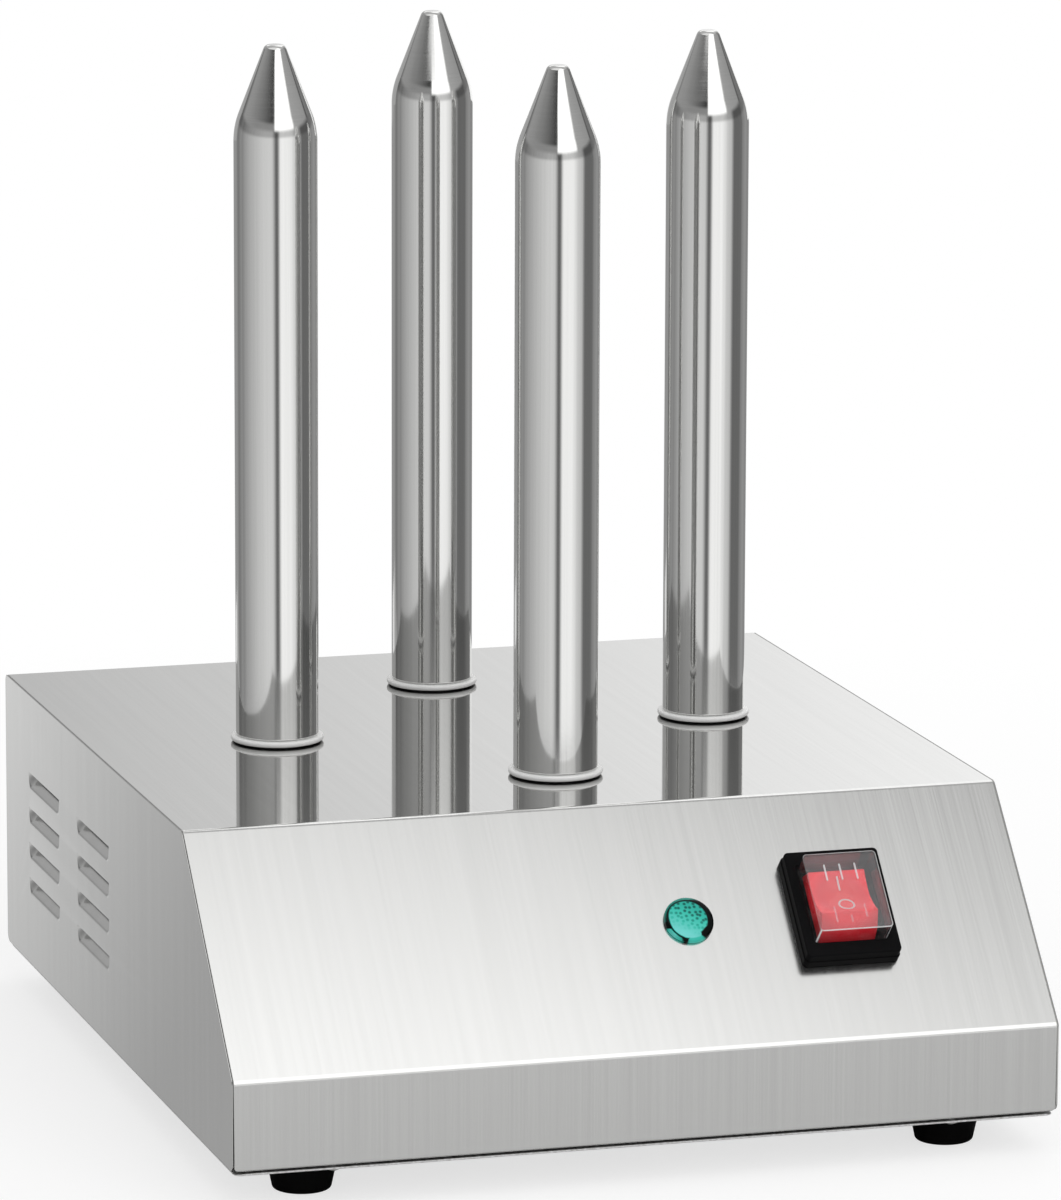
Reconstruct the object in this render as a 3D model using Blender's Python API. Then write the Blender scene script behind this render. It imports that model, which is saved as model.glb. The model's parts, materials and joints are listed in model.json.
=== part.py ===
"""A hot dog spike machine: a folded stainless housing with a sloped control panel, four heated
spikes that stand in a diamond on its top plate, a pilot lamp and a rocker switch.

Metres, +Z up, +X to the viewer's right, the control panel at -Y. The origin lies on the floor,
in the middle of the width and of the depth from the front strip to the cable gland.
"""

import math

import bmesh
import bpy
from mathutils import Matrix, Vector

# Housing
HOUSING_WIDTH = 0.280
HOUSING_DEPTH = 0.325
HOUSING_HEIGHT = 0.0975
STRIP_HEIGHT = 0.0295
SLOPE_RUN = 0.0655
SHEET = 0.0010
BEND_RADIUS = 0.0020
LIP_WIDTH = 0.014
FLANGE_WIDTH = 0.010
FLANGE_LIFT = 0.0080
CORNER_RADIUS = 0.0012
BEND_STEPS = 4

# Clearances: between touching pieces, and how far a cutter runs past what it cuts
FIT_GAP = 0.0003
OVERRUN = 0.0020

# Louvres: pressed inwards, open along their straight top edge
LOUVRE_LENGTH = 0.047
LOUVRE_HEIGHT = 0.0055
LOUVRE_DEPTH = 0.0040
LOUVRE_TAPER = 0.0070
LOUVRE_END_TAPER = 0.0016
LOUVRE_SHEET = 0.0008
LOUVRE_PITCH = 0.0127
LOUVRE_COLUMN_PITCH = 0.074
LOUVRE_BACK_INSET = 0.060
LOUVRE_TOP_DROP = 0.0280
LOUVRE_ROWS = 4
LOUVRE_COLUMNS = 2

# Base plate and its screws
BASE_SHEET = 0.0012
BASE_INSET = 0.0010
BASE_SCREW_SIDE_INSET = 0.035
BASE_SCREW_EDGE_INSET = 0.0065
BASE_SCREW_RADIUS = 0.0015
BASE_SCREW_LENGTH = 0.007
BASE_HEAD_RADIUS = 0.0027
BASE_HEAD_HEIGHT = 0.0013

# Feet
FOOT_HEIGHT = 0.0122
FOOT_TOP_RADIUS = 0.0118
FOOT_BOTTOM_RADIUS = 0.0098
FOOT_ROUNDING = 0.0014
FOOT_SIDE_INSET = 0.030
FOOT_EDGE_INSET = 0.027
FOOT_RECESS_RADIUS = 0.0048
FOOT_RECESS_DEPTH = 0.0055
FOOT_SCREW_RADIUS = 0.0020
FOOT_HEAD_RADIUS = 0.0040
FOOT_HEAD_HEIGHT = 0.0026
FOOT_NUT_FLATS = 0.0070
FOOT_NUT_HEIGHT = 0.0032
SCREW_TAIL = 0.0010

# Spikes
SPIKE_DIAMETER = 0.0285
SPIKE_HEIGHT = 0.2392
SPIKE_WALL = 0.0015
SPIKE_REACH = 0.0764
SPIKE_FORWARD = 0.00405
SPIKE_SHIFT = 0.0015
CONE_HALF_ANGLE = math.radians(21.3)
NOSE_RADIUS = 0.0032
NOSE_ROUNDING = 0.0014
SHOULDER_RADIUS = 0.0265
NECK_RADIUS = 0.0100
NECK_BORE_RADIUS = 0.0070
NECK_TAIL = 0.0030
SPIKE_STEPS = 26

# Gasket, nut and heating rod of a spike
GASKET_RADIUS = 0.0160
GASKET_THICKNESS = 0.0020
GASKET_ROUNDING = 0.0004
NUT_FLATS = 0.030
NUT_HEIGHT = 0.0060
HEATER_RADIUS = 0.00625
HEATER_TIP_DROP = 0.0392
HEATER_END_RADIUS = 0.0052
HEATER_END_LENGTH = 0.0060

# Slope row: lamp and switch, raised from the middle of the slope, measured from the right side
ROW_RISE = 0.0008
SWITCH_SIDE_INSET = 0.0657
LAMP_SPACING = 0.0517

# Pilot lamp
LENS_RADIUS = 0.0083
LENS_HEIGHT = 0.0030
LENS_ROUNDING = 0.0014
LENS_SPIGOT_RADIUS = 0.0050
LENS_SPIGOT_LENGTH = 0.0030
LAMP_RADIUS = 0.0060
LAMP_LENGTH = 0.0200
CLIP_RADIUS = 0.0095
CLIP_THICKNESS = 0.0008

# Switch
SURROUND_WIDTH = 0.0331
SURROUND_LENGTH = 0.0404
SURROUND_THICKNESS = 0.0067
SURROUND_RADIUS = 0.0016
SURROUND_EASE = 0.0004
COVER_WIDTH = 0.0252
COVER_LENGTH = 0.0292
COVER_RISE = 0.0140
COVER_WALL = 0.0006
COVER_RADIUS = 0.0014
COVER_RIM_OVERHANG = 0.0010
COVER_RIM_THICKNESS = 0.0007
SWITCH_FLANGE_THICKNESS = 0.0020
SWITCH_WALL = 0.0008
SWITCH_DEPTH = 0.024
CAVITY_LENGTH = 0.0270
CAVITY_DEPTH = 0.0102
BLADE_WIDTH = 0.0048
BLADE_THICKNESS = 0.0008
BLADE_LENGTH = 0.0090
BLADE_SPREAD_X = 0.0052
BLADE_SPREAD_Y = 0.0065

# Rocker, measured from its pivot
ROCKER_HALF_TRAVEL = math.radians(11.5)
ROCKER_WIDTH = 0.0195
PIVOT_DEPTH = 0.0026
ROCKER_FACE_REACH = 0.0091
ROCKER_FACE_RISE = 0.0120
ROCKER_FACE_SAG = 0.0024
ROCKER_FACE_STEPS = 8
ROCKER_END_REACH = 0.0120
ROCKER_END_RISE = 0.0070
ROCKER_SKIRT_REACH = 0.0116
ROCKER_SKIRT_RISE = 0.0010
ROCKER_SOLE_REACH = 0.0075
ROCKER_SOLE_DROP = 0.0030
TRUNNION_RADIUS = 0.0012
TRUNNION_STICK_OUT = 0.0008

# Cable gland
GLAND_SIDE_INSET = 0.055
GLAND_RISE = 0.035
GLAND_FLATS = 0.024
GLAND_FLANGE_THICKNESS = 0.0050
GLAND_SHANK_RADIUS = 0.0098
GLAND_TAIL = 0.0020
GLAND_THREAD_RADIUS = 0.0080
GLAND_THREAD_LENGTH = 0.0070
GLAND_BORE_RADIUS = 0.0056
LOCKNUT_FLATS = 0.026
LOCKNUT_THICKNESS = 0.0045
SEAL_BORE_RADIUS = 0.0040
SEAL_LENGTH = 0.0052
DOME_RADIUS = 0.0112
DOME_SHOULDER = 0.0080
DOME_MOUTH_RADIUS = 0.0078
DOME_ROOF = 0.0024
GLAND_STEPS = 18

# Inside the housing
BLOCK_WIDTH = 0.038
BLOCK_DEPTH = 0.018
BLOCK_HEIGHT = 0.016
BLOCK_HOLE_RADIUS = 0.0016
BLOCK_POLES = 3
BLOCK_SETBACK = 0.060
THERMOSTAT_RADIUS = 0.0080
THERMOSTAT_HEIGHT = 0.0090
EARTH_SPACING = 0.040
EARTH_SETBACK = 0.060
EARTH_RADIUS = 0.0020
EARTH_HEIGHT = 0.012
EARTH_NUT_FLATS = 0.0070
EARTH_NUT_HEIGHT = 0.0032

# Wires
WIRE_RADIUS = 0.0011
WIRE_LEAD = 0.0160
WIRE_OFFSET = 0.0030
WIRE_STEP = 0.0160
WIRE_SPAN_LEAST = 3

# Facets of small round pieces
FINE_STEPS = 20
SMALL_STEPS = 18
SCREW_STEPS = 12
HEX_SIDES = 6
WELD = 1e-7
SMOOTH_ANGLE = math.radians(35)

# Worked out from the sizes above
BASE_BOTTOM = FOOT_HEIGHT + FIT_GAP
BASE_TOP = BASE_BOTTOM + BASE_SHEET
HOUSING_BOTTOM = BASE_TOP + FIT_GAP
HOUSING_TOP = HOUSING_BOTTOM + HOUSING_HEIGHT
THREAD_END = GLAND_FLANGE_THICKNESS + GLAND_THREAD_LENGTH
SEAL_TOP = THREAD_END + FIT_GAP + SEAL_LENGTH
GLAND_REACH = SEAL_TOP + FIT_GAP + DOME_ROOF
COVER_BOTTOM = SWITCH_FLANGE_THICKNESS + FIT_GAP
RECESS_TOP = COVER_BOTTOM + COVER_RIM_THICKNESS + FIT_GAP
FRONT = -(HOUSING_DEPTH + GLAND_REACH) / 2
BACK = FRONT + HOUSING_DEPTH
HALF_WIDTH = HOUSING_WIDTH / 2
CREASE = FRONT + SLOPE_RUN
SLOPE_RISE = HOUSING_HEIGHT - STRIP_HEIGHT
SLOPE_ANGLE = math.atan2(SLOPE_RISE, SLOPE_RUN)
SPIKE_MIDDLE = (CREASE + BACK) / 2 - SPIKE_FORWARD
SPIKE_RADIUS = SPIKE_DIAMETER / 2
NUT_TOP = -SHEET - FIT_GAP
NECK_BOTTOM = NUT_TOP - NUT_HEIGHT - NECK_TAIL
HEATER_BOTTOM = NECK_BOTTOM - HEATER_END_LENGTH
HEATER_REACH = SPIKE_HEIGHT - HEATER_TIP_DROP
SWITCH_X = HALF_WIDTH - SWITCH_SIDE_INSET
LAMP_X = SWITCH_X - LAMP_SPACING
GLAND_X = HALF_WIDTH - GLAND_SIDE_INSET
EARTH_X = GLAND_X - EARTH_SPACING


def clear_scene():
    for thing in list(bpy.data.objects):
        bpy.data.objects.remove(thing)


def finish(name, colour, roughness, metallic=0.0, transmission=0.0):
    """A plain surface: colour, roughness and how metallic or clear it is."""
    surface = bpy.data.materials.new(name)
    surface.use_nodes = True
    shader = surface.node_tree.nodes["Principled BSDF"]
    shader.inputs["Base Color"].default_value = (*colour, 1.0)
    shader.inputs["Roughness"].default_value = roughness
    shader.inputs["Metallic"].default_value = metallic
    shader.inputs["Transmission Weight"].default_value = transmission
    return surface


def finishes():
    return {
        "brushed_steel": finish("brushed_steel", (0.62, 0.62, 0.61), 0.32, 1.0),
        "polished_steel": finish("polished_steel", (0.66, 0.66, 0.65), 0.12, 1.0),
        "zinc": finish("zinc", (0.60, 0.60, 0.58), 0.40, 1.0),
        "brass": finish("brass", (0.72, 0.55, 0.28), 0.35, 1.0),
        "black_rubber": finish("black_rubber", (0.012, 0.012, 0.013), 0.75),
        "black_plastic": finish("black_plastic", (0.014, 0.014, 0.015), 0.38),
        "pale_gasket": finish("pale_gasket", (0.82, 0.83, 0.82), 0.45),
        "red_plastic": finish("red_plastic", (0.72, 0.02, 0.03), 0.30),
        "clear_plastic": finish("clear_plastic", (0.90, 0.90, 0.91), 0.15, 0.0, 0.9),
        "green_lens": finish("green_lens", (0.02, 0.42, 0.34), 0.12, 0.0, 0.5),
        "ceramic": finish("ceramic", (0.80, 0.78, 0.72), 0.60),
        "grey_polyamide": finish("grey_polyamide", (0.045, 0.045, 0.048), 0.50),
        "wire_cover": finish("wire_cover", (0.55, 0.10, 0.05), 0.60),
    }


def solid(name, shape, surface, parent=None, place=(0, 0, 0)):
    """Turns a bmesh into a named object with outward faces and smooth round sides."""
    bmesh.ops.remove_doubles(shape, verts=shape.verts, dist=WELD)
    bmesh.ops.recalc_face_normals(shape, faces=shape.faces)
    mesh = bpy.data.meshes.new(name)
    shape.to_mesh(mesh)
    shape.free()
    mesh.materials.append(surface)
    mesh.shade_smooth()
    mesh.set_sharp_from_angle(angle=SMOOTH_ANGLE)
    thing = bpy.data.objects.new(name, mesh)
    thing.parent = parent
    thing.location = place
    bpy.context.scene.collection.objects.link(thing)
    return thing


def copy_of(source, name, parent=None, place=(0, 0, 0)):
    """Another object on the same mesh."""
    thing = bpy.data.objects.new(name, source.data)
    thing.parent = parent
    thing.location = place
    bpy.context.scene.collection.objects.link(thing)
    return thing


def frame(name, place, turn):
    """An empty that carries pieces built flat, at their place and angle in the machine."""
    thing = bpy.data.objects.new(name, None)
    thing.location = place
    thing.rotation_euler = turn
    bpy.context.scene.collection.objects.link(thing)
    return thing


def combine(target, tool, operation):
    """Joins a helper to a piece or cuts it away; the helper itself isn't part of the machine."""
    modifier = target.modifiers.new(tool.name, "BOOLEAN")
    modifier.operation = operation
    modifier.object = tool
    tool.hide_render = True
    tool.display_type = "WIRE"


def cut(target, *tools):
    for tool in tools:
        combine(target, tool, "DIFFERENCE")


def join(target, *tools):
    for tool in tools:
        combine(target, tool, "UNION")


def prism_shape(outline, low, high, along="Z"):
    """The outline's face pushed from low to high: (x, y) points along Z or (y, z) points along X."""
    shape = bmesh.new()
    if along == "Z":
        corners = [shape.verts.new((a, b, low)) for a, b in outline]
        push = Vector((0, 0, high - low))
    else:
        corners = [shape.verts.new((low, a, b)) for a, b in outline]
        push = Vector((high - low, 0, 0))
    face = shape.faces.new(corners)
    pushed = bmesh.ops.extrude_face_region(shape, geom=[face])
    moved = [item for item in pushed["geom"] if isinstance(item, bmesh.types.BMVert)]
    bmesh.ops.translate(shape, verts=moved, vec=push)
    return shape


def turned_shape(profile, steps):
    """A closed profile of (radius, height) points spun once round Z; on the axis it needs no edge."""
    shape = bmesh.new()
    ring = [shape.verts.new((radius, 0, height)) for radius, height in profile]
    edges = [
        shape.edges.new((first, second))
        for first, second in zip(ring, ring[1:] + ring[:1])
        if first.co.x > 0 or second.co.x > 0
    ]
    bmesh.ops.spin(
        shape,
        geom=ring + edges,
        cent=(0, 0, 0),
        axis=(0, 0, 1),
        angle=math.tau,
        steps=steps,
        use_merge=True,
    )
    return shape


def regular_outline(radius, steps):
    """A regular polygon with a corner on its own X axis."""
    turns = [math.tau * step / steps for step in range(steps)]
    return [(radius * math.cos(turn), radius * math.sin(turn)) for turn in turns]


def hex_outline(flats, steps):
    """A hexagon met by evenly spaced spokes, the first of them through a corner."""
    side = math.tau / HEX_SIDES
    outline = []
    for step in range(steps):
        turn = math.tau * step / steps
        reach = flats / 2 / math.cos(turn % side - side / 2)
        outline.append((reach * math.cos(turn), reach * math.sin(turn)))
    return outline


def rounded_rectangle(width, length, radius, steps=BEND_STEPS):
    """A rectangle round the origin whose corners are arcs."""
    points = []
    for quarter, (side, end) in enumerate(((1, 1), (-1, 1), (-1, -1), (1, -1))):
        middle = Vector((side * (width / 2 - radius), end * (length / 2 - radius)))
        for step in range(steps + 1):
            turn = math.pi / 2 * (quarter + step / steps)
            points.append(tuple(middle + radius * Vector((math.cos(turn), math.sin(turn)))))
    return points


def rod(name, radius, low, high, steps, surface, parent=None, place=(0, 0, 0)):
    shape = prism_shape(regular_outline(radius, steps), low, high)
    return solid(name, shape, surface, parent, place)


def block(name, width, length, radius, low, high, surface, parent=None, place=(0, 0, 0)):
    shape = prism_shape(rounded_rectangle(width, length, radius), low, high)
    return solid(name, shape, surface, parent, place)


def bent_path(corners, inset, radius):
    """A path set inwards, to the right of its direction, whose corners are arcs round fixed centres."""
    points = [Vector(corner) for corner in corners]
    heads = [(b - a).normalized() for a, b in zip(points, points[1:])]
    inward = [Vector((head.y, -head.x)) for head in heads]
    path = [points[0] + inset * inward[0]]
    for corner, before, after, head in zip(points[1:-1], inward, inward[1:], heads):
        half_turn = before.angle(after) / 2
        middle = corner - head * radius * math.tan(half_turn) + radius * before
        for step in range(BEND_STEPS + 1):
            share = step / BEND_STEPS
            spoke = (before * math.sin((1 - share) * 2 * half_turn) + after * math.sin(share * 2 * half_turn))
            path.append(middle - (radius - inset) * spoke / math.sin(2 * half_turn))
    path.append(points[-1] + inset * inward[-1])
    return [tuple(point) for point in path]


def sheet_outline(corners, thickness, radius):
    """The cut edge of a bent sheet whose outer face runs along the corners."""
    return bent_path(corners, 0, radius) + bent_path(corners, thickness, radius)[::-1]


def side_corners(inset=0.0):
    """Front bottom, fold to the slope, crease, back top and back bottom of the housing from the side."""
    lean = inset * math.tan(SLOPE_ANGLE / 2)
    fall = inset * math.tan((math.pi / 2 - SLOPE_ANGLE) / 2)
    return [
        (FRONT + inset, HOUSING_BOTTOM),
        (FRONT + inset, HOUSING_BOTTOM + STRIP_HEIGHT - fall),
        (CREASE + lean, HOUSING_TOP - inset),
        (BACK - inset, HOUSING_TOP - inset),
        (BACK - inset, HOUSING_BOTTOM),
    ]


def housing_wrap(surface, slope_frame, gland_frame):
    """Front strip, slope, top plate and back, folded from one sheet with a lip at each lower end."""
    corners = side_corners()
    lips = [(FRONT + LIP_WIDTH, HOUSING_BOTTOM)], [(BACK - LIP_WIDTH, HOUSING_BOTTOM)]
    outline = sheet_outline(lips[0] + corners + lips[1], SHEET, BEND_RADIUS)
    half = HALF_WIDTH - SHEET - FIT_GAP
    wrap = solid("housing_wrap", prism_shape(outline, -half, half, "X"), surface)
    neck_hole = NECK_RADIUS + FIT_GAP
    for number, (x, y) in enumerate(spike_places().values()):
        tool = rod(f"neck_hole_{number}", neck_hole, -OVERRUN, OVERRUN, FINE_STEPS, surface)
        tool.location = (x, y, HOUSING_TOP)
        cut(wrap, tool)
    lamp_hole = LAMP_RADIUS + FIT_GAP
    place = (LAMP_X, ROW_RISE, 0)
    cut(wrap, rod("lamp_hole", lamp_hole, -OVERRUN, OVERRUN, FINE_STEPS, surface, slope_frame, place))
    barrel_width, barrel_length = barrel_size()
    width = barrel_width + 2 * FIT_GAP
    length = barrel_length + 2 * FIT_GAP
    place = (SWITCH_X, ROW_RISE, 0)
    opening = (width, length, CORNER_RADIUS, -OVERRUN, OVERRUN, surface, slope_frame, place)
    cut(wrap, block("switch_hole", *opening))
    gland_hole = GLAND_SHANK_RADIUS + FIT_GAP
    cut(wrap, rod("gland_hole", gland_hole, -OVERRUN, OVERRUN, FINE_STEPS, surface, gland_frame))
    for number, (x, y) in enumerate(base_screw_places()):
        hole = BASE_SCREW_RADIUS + FIT_GAP
        tool = rod(f"lip_hole_{number}", hole, -OVERRUN, OVERRUN, SCREW_STEPS, surface)
        tool.location = (x, y, HOUSING_BOTTOM)
        cut(wrap, tool)
    return wrap


def louvre_places():
    """Front end and top edge of each louvre, as (y, z)."""
    middle = BACK - LOUVRE_BACK_INSET
    top = HOUSING_TOP - LOUVRE_TOP_DROP
    return [
        (middle - column * LOUVRE_COLUMN_PITCH - LOUVRE_LENGTH / 2, top - row * LOUVRE_PITCH)
        for column in range(LOUVRE_COLUMNS)
        for row in range(LOUVRE_ROWS)
    ]


def louvre_wedges(side, grow, top_drop, start):
    """One six-cornered wedge for each louvre: a long foot on the sheet, deepest along its top edge."""
    shape = bmesh.new()
    for front, top in louvre_places():
        back = front + LOUVRE_LENGTH
        high = top - top_drop
        low = top - LOUVRE_HEIGHT - grow
        deep = LOUVRE_DEPTH + grow
        rows = (
            (start, front - grow, high),
            (start, back + grow, high),
            (start, back + grow - LOUVRE_TAPER, low),
            (start, front - grow + LOUVRE_TAPER, low),
            (deep, front - grow + LOUVRE_END_TAPER, high),
            (deep, back + grow - LOUVRE_END_TAPER, high),
        )
        corners = [shape.verts.new((side * (HALF_WIDTH - x), y, z)) for x, y, z in rows]
        for picks in ((0, 1, 2, 3), (0, 1, 5, 4), (2, 3, 4, 5), (0, 3, 4), (1, 2, 5)):
            shape.faces.new([corners[pick] for pick in picks])
    return shape


def side_panel(name, side, surface):
    """A flat cheek with an inner flange that follows the wrap, and two columns of pressed louvres."""
    outer = side * HALF_WIDTH
    inner = outer - side * SHEET
    corners = side_corners()
    outline = bent_path(corners, 0, BEND_RADIUS)
    panel = solid(name, prism_shape(outline, min(outer, inner), max(outer, inner), "X"), surface)
    bends = side_corners(SHEET + FIT_GAP)
    ends = [(bends[end][0], HOUSING_BOTTOM + FLANGE_LIFT) for end in (0, -1)]
    flange_edge = sheet_outline([ends[0]] + bends[1:-1] + [ends[1]], SHEET, BEND_RADIUS)
    root = outer - side * SHEET / 2
    reach = inner - side * FLANGE_WIDTH
    flange = prism_shape(flange_edge, min(root, reach), max(root, reach), "X")
    join(panel, solid(name + "_flange", flange, surface))
    hoods = louvre_wedges(side, LOUVRE_SHEET, LOUVRE_SHEET, SHEET / 2)
    join(panel, solid(name + "_hoods", hoods, surface))
    cut(panel, solid(name + "_slots", louvre_wedges(side, 0, 0, -OVERRUN), surface))
    return panel


def foot_places():
    """Each foot's name and place under the base plate."""
    side = HALF_WIDTH - FOOT_SIDE_INSET
    front = FRONT + FOOT_EDGE_INSET
    back = BACK - FOOT_EDGE_INSET
    return {
        "front_left": (-side, front),
        "front_right": (side, front),
        "rear_left": (-side, back),
        "rear_right": (side, back),
    }


def base_screw_places():
    side = HALF_WIDTH - BASE_SCREW_SIDE_INSET
    front = FRONT + BASE_SCREW_EDGE_INSET
    back = BACK - BASE_SCREW_EDGE_INSET
    return [(-side, front), (side, front), (-side, back), (side, back)]


def base_plate(surface):
    """The flat plate under the housing, with a hole for each foot screw and each of its own."""
    width = HOUSING_WIDTH - 2 * BASE_INSET
    length = HOUSING_DEPTH - 2 * BASE_INSET
    place = (0, (FRONT + BACK) / 2, 0)
    plate = block("base_plate", width, length, BEND_RADIUS, BASE_BOTTOM, BASE_TOP, surface, None, place)
    holes = [(x, y, FOOT_SCREW_RADIUS) for x, y in foot_places().values()]
    holes += [(x, y, BASE_SCREW_RADIUS) for x, y in base_screw_places()]
    for number, (x, y, radius) in enumerate(holes):
        low = BASE_BOTTOM - OVERRUN
        high = BASE_TOP + OVERRUN
        tool = rod(f"plate_hole_{number}", radius + FIT_GAP, low, high, SCREW_STEPS, surface)
        tool.location = (x, y, 0)
        cut(plate, tool)
    return plate


def foot_profile():
    """Half section of a tapered foot, from its screw hole out to its rounded lower edge."""
    hole = FOOT_SCREW_RADIUS + FIT_GAP
    rounding = []
    for step in range(BEND_STEPS // 2 + 1):
        turn = math.pi / 2 * step / (BEND_STEPS // 2)
        reach = FOOT_BOTTOM_RADIUS - FOOT_ROUNDING * (1 - math.sin(turn))
        rounding.append((reach, FOOT_ROUNDING * (1 - math.cos(turn))))
    return [
        (hole, FOOT_HEIGHT),
        (hole, FOOT_RECESS_DEPTH),
        (FOOT_RECESS_RADIUS, FOOT_RECESS_DEPTH),
        (FOOT_RECESS_RADIUS, 0),
        *rounding,
        (FOOT_TOP_RADIUS, FOOT_HEIGHT),
    ]


def screw_profile(head_radius, head_height, shank_radius, length):
    """Half section of a screw that points up: domed head below, plain shank above."""
    return [
        (0, -head_height),
        (head_radius / 2, -head_height),
        (head_radius, -head_height / 2),
        (head_radius, 0),
        (shank_radius, 0),
        (shank_radius, length),
        (0, length),
    ]


def nut_shape(flats, height, bore, steps):
    """A hexagon prism round an open bore; both have a corner on each of the same spokes."""
    shape = bmesh.new()
    rings = []
    for outline, level in (
        (hex_outline(flats, steps), 0),
        (hex_outline(flats, steps), height),
        (regular_outline(bore, steps), height),
        (regular_outline(bore, steps), 0),
    ):
        rings.append([shape.verts.new((x, y, level)) for x, y in outline])
    for first, second in zip(rings, rings[1:] + rings[:1]):
        for a, b, c, d in zip(first, first[1:] + first[:1], second[1:] + second[:1], second):
            shape.faces.new((a, b, c, d))
    return shape


def feet(rubber, zinc):
    """Four rubber feet, each with its screw and nut."""
    screw_length = BASE_TOP + FIT_GAP + FOOT_NUT_HEIGHT + SCREW_TAIL - FOOT_RECESS_DEPTH + FIT_GAP
    head = FOOT_RECESS_DEPTH - FIT_GAP
    foot = screw = nut = None
    for name, (x, y) in foot_places().items():
        if foot is None:
            shape = turned_shape(foot_profile(), FINE_STEPS)
            foot = solid("foot_" + name, shape, rubber, None, (x, y, 0))
            profile = screw_profile(FOOT_HEAD_RADIUS, FOOT_HEAD_HEIGHT, FOOT_SCREW_RADIUS, screw_length)
            screw = solid("foot_screw_" + name, turned_shape(profile, SCREW_STEPS), zinc, None, (x, y, head))
            shape = nut_shape(FOOT_NUT_FLATS, FOOT_NUT_HEIGHT, FOOT_SCREW_RADIUS + FIT_GAP, SCREW_STEPS)
            nut = solid("foot_nut_" + name, shape, zinc, None, (x, y, BASE_TOP + FIT_GAP))
            continue
        copy_of(foot, "foot_" + name, None, (x, y, 0))
        copy_of(screw, "foot_screw_" + name, None, (x, y, head))
        copy_of(nut, "foot_nut_" + name, None, (x, y, BASE_TOP + FIT_GAP))


def base_screws(zinc):
    """Four small screws that hold the base plate to the lips of the wrap."""
    profile = screw_profile(BASE_HEAD_RADIUS, BASE_HEAD_HEIGHT, BASE_SCREW_RADIUS, BASE_SCREW_LENGTH)
    first = None
    for name, (x, y) in zip(foot_places(), base_screw_places()):
        place = (x, y, BASE_BOTTOM - FIT_GAP)
        if first is None:
            first = solid("base_screw_" + name, turned_shape(profile, SCREW_STEPS), zinc, None, place)
            continue
        copy_of(first, "base_screw_" + name, None, place)


def spike_places():
    """The diamond: one spike to each side of its middle, one before it and one behind it."""
    return {
        "front": (SPIKE_SHIFT, SPIKE_MIDDLE - SPIKE_REACH),
        "left": (SPIKE_SHIFT - SPIKE_REACH, SPIKE_MIDDLE),
        "rear": (SPIKE_SHIFT, SPIKE_MIDDLE + SPIKE_REACH),
        "right": (SPIKE_SHIFT + SPIKE_REACH, SPIKE_MIDDLE),
    }


def spike_profile():
    """Half section of a hollow spike: neck, tube, soft shoulder, cone and blunt nose, then its bore."""
    floor = GASKET_THICKNESS + 2 * FIT_GAP
    slope = math.tan(CONE_HALF_ANGLE)
    cone_bottom = SPIKE_HEIGHT - (SPIKE_RADIUS - NOSE_RADIUS) / slope
    tangent = SHOULDER_RADIUS * math.tan(CONE_HALF_ANGLE / 2)
    shoulder = []
    for step in range(BEND_STEPS // 2 + 1):
        turn = CONE_HALF_ANGLE * step / (BEND_STEPS // 2)
        reach = SPIKE_RADIUS - SHOULDER_RADIUS * (1 - math.cos(turn))
        shoulder.append((reach, cone_bottom - tangent + SHOULDER_RADIUS * math.sin(turn)))
    inner_shift = SPIKE_WALL * math.tan((math.pi / 2 - CONE_HALF_ANGLE) / 2)
    cavity_top = SPIKE_HEIGHT - SPIKE_WALL / math.sin(CONE_HALF_ANGLE)
    return [
        (NECK_BORE_RADIUS, NECK_BOTTOM),
        (NECK_RADIUS, NECK_BOTTOM),
        (NECK_RADIUS, floor),
        (SPIKE_RADIUS, floor),
        *shoulder,
        (NOSE_RADIUS + NOSE_ROUNDING * slope, SPIKE_HEIGHT - NOSE_ROUNDING),
        (NOSE_RADIUS - NOSE_ROUNDING, SPIKE_HEIGHT),
        (0, SPIKE_HEIGHT),
        (0, cavity_top),
        (SPIKE_RADIUS - SPIKE_WALL, cone_bottom - inner_shift),
        (SPIKE_RADIUS - SPIKE_WALL, floor + SPIKE_WALL),
        (NECK_BORE_RADIUS, floor + SPIKE_WALL),
    ]


def gasket_profile():
    """Half section of the flat ring under a spike, its outer edge eased."""
    hole = NECK_RADIUS + FIT_GAP
    return [
        (hole, 0),
        (GASKET_RADIUS - GASKET_ROUNDING, 0),
        (GASKET_RADIUS, GASKET_ROUNDING),
        (GASKET_RADIUS, GASKET_THICKNESS - GASKET_ROUNDING),
        (GASKET_RADIUS - GASKET_ROUNDING, GASKET_THICKNESS),
        (hole, GASKET_THICKNESS),
    ]


def heater_profile():
    """Half section of a heating rod: a ceramic end, a collar that fills the neck, and the sheath."""
    collar = NECK_BORE_RADIUS - FIT_GAP
    return [
        (0, HEATER_BOTTOM),
        (HEATER_END_RADIUS, HEATER_BOTTOM),
        (HEATER_END_RADIUS, NECK_BOTTOM),
        (collar, NECK_BOTTOM),
        (collar, 0),
        (HEATER_RADIUS, 0),
        (HEATER_RADIUS, HEATER_REACH - HEATER_RADIUS / 2),
        (HEATER_RADIUS / 2, HEATER_REACH),
        (0, HEATER_REACH),
    ]


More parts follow.
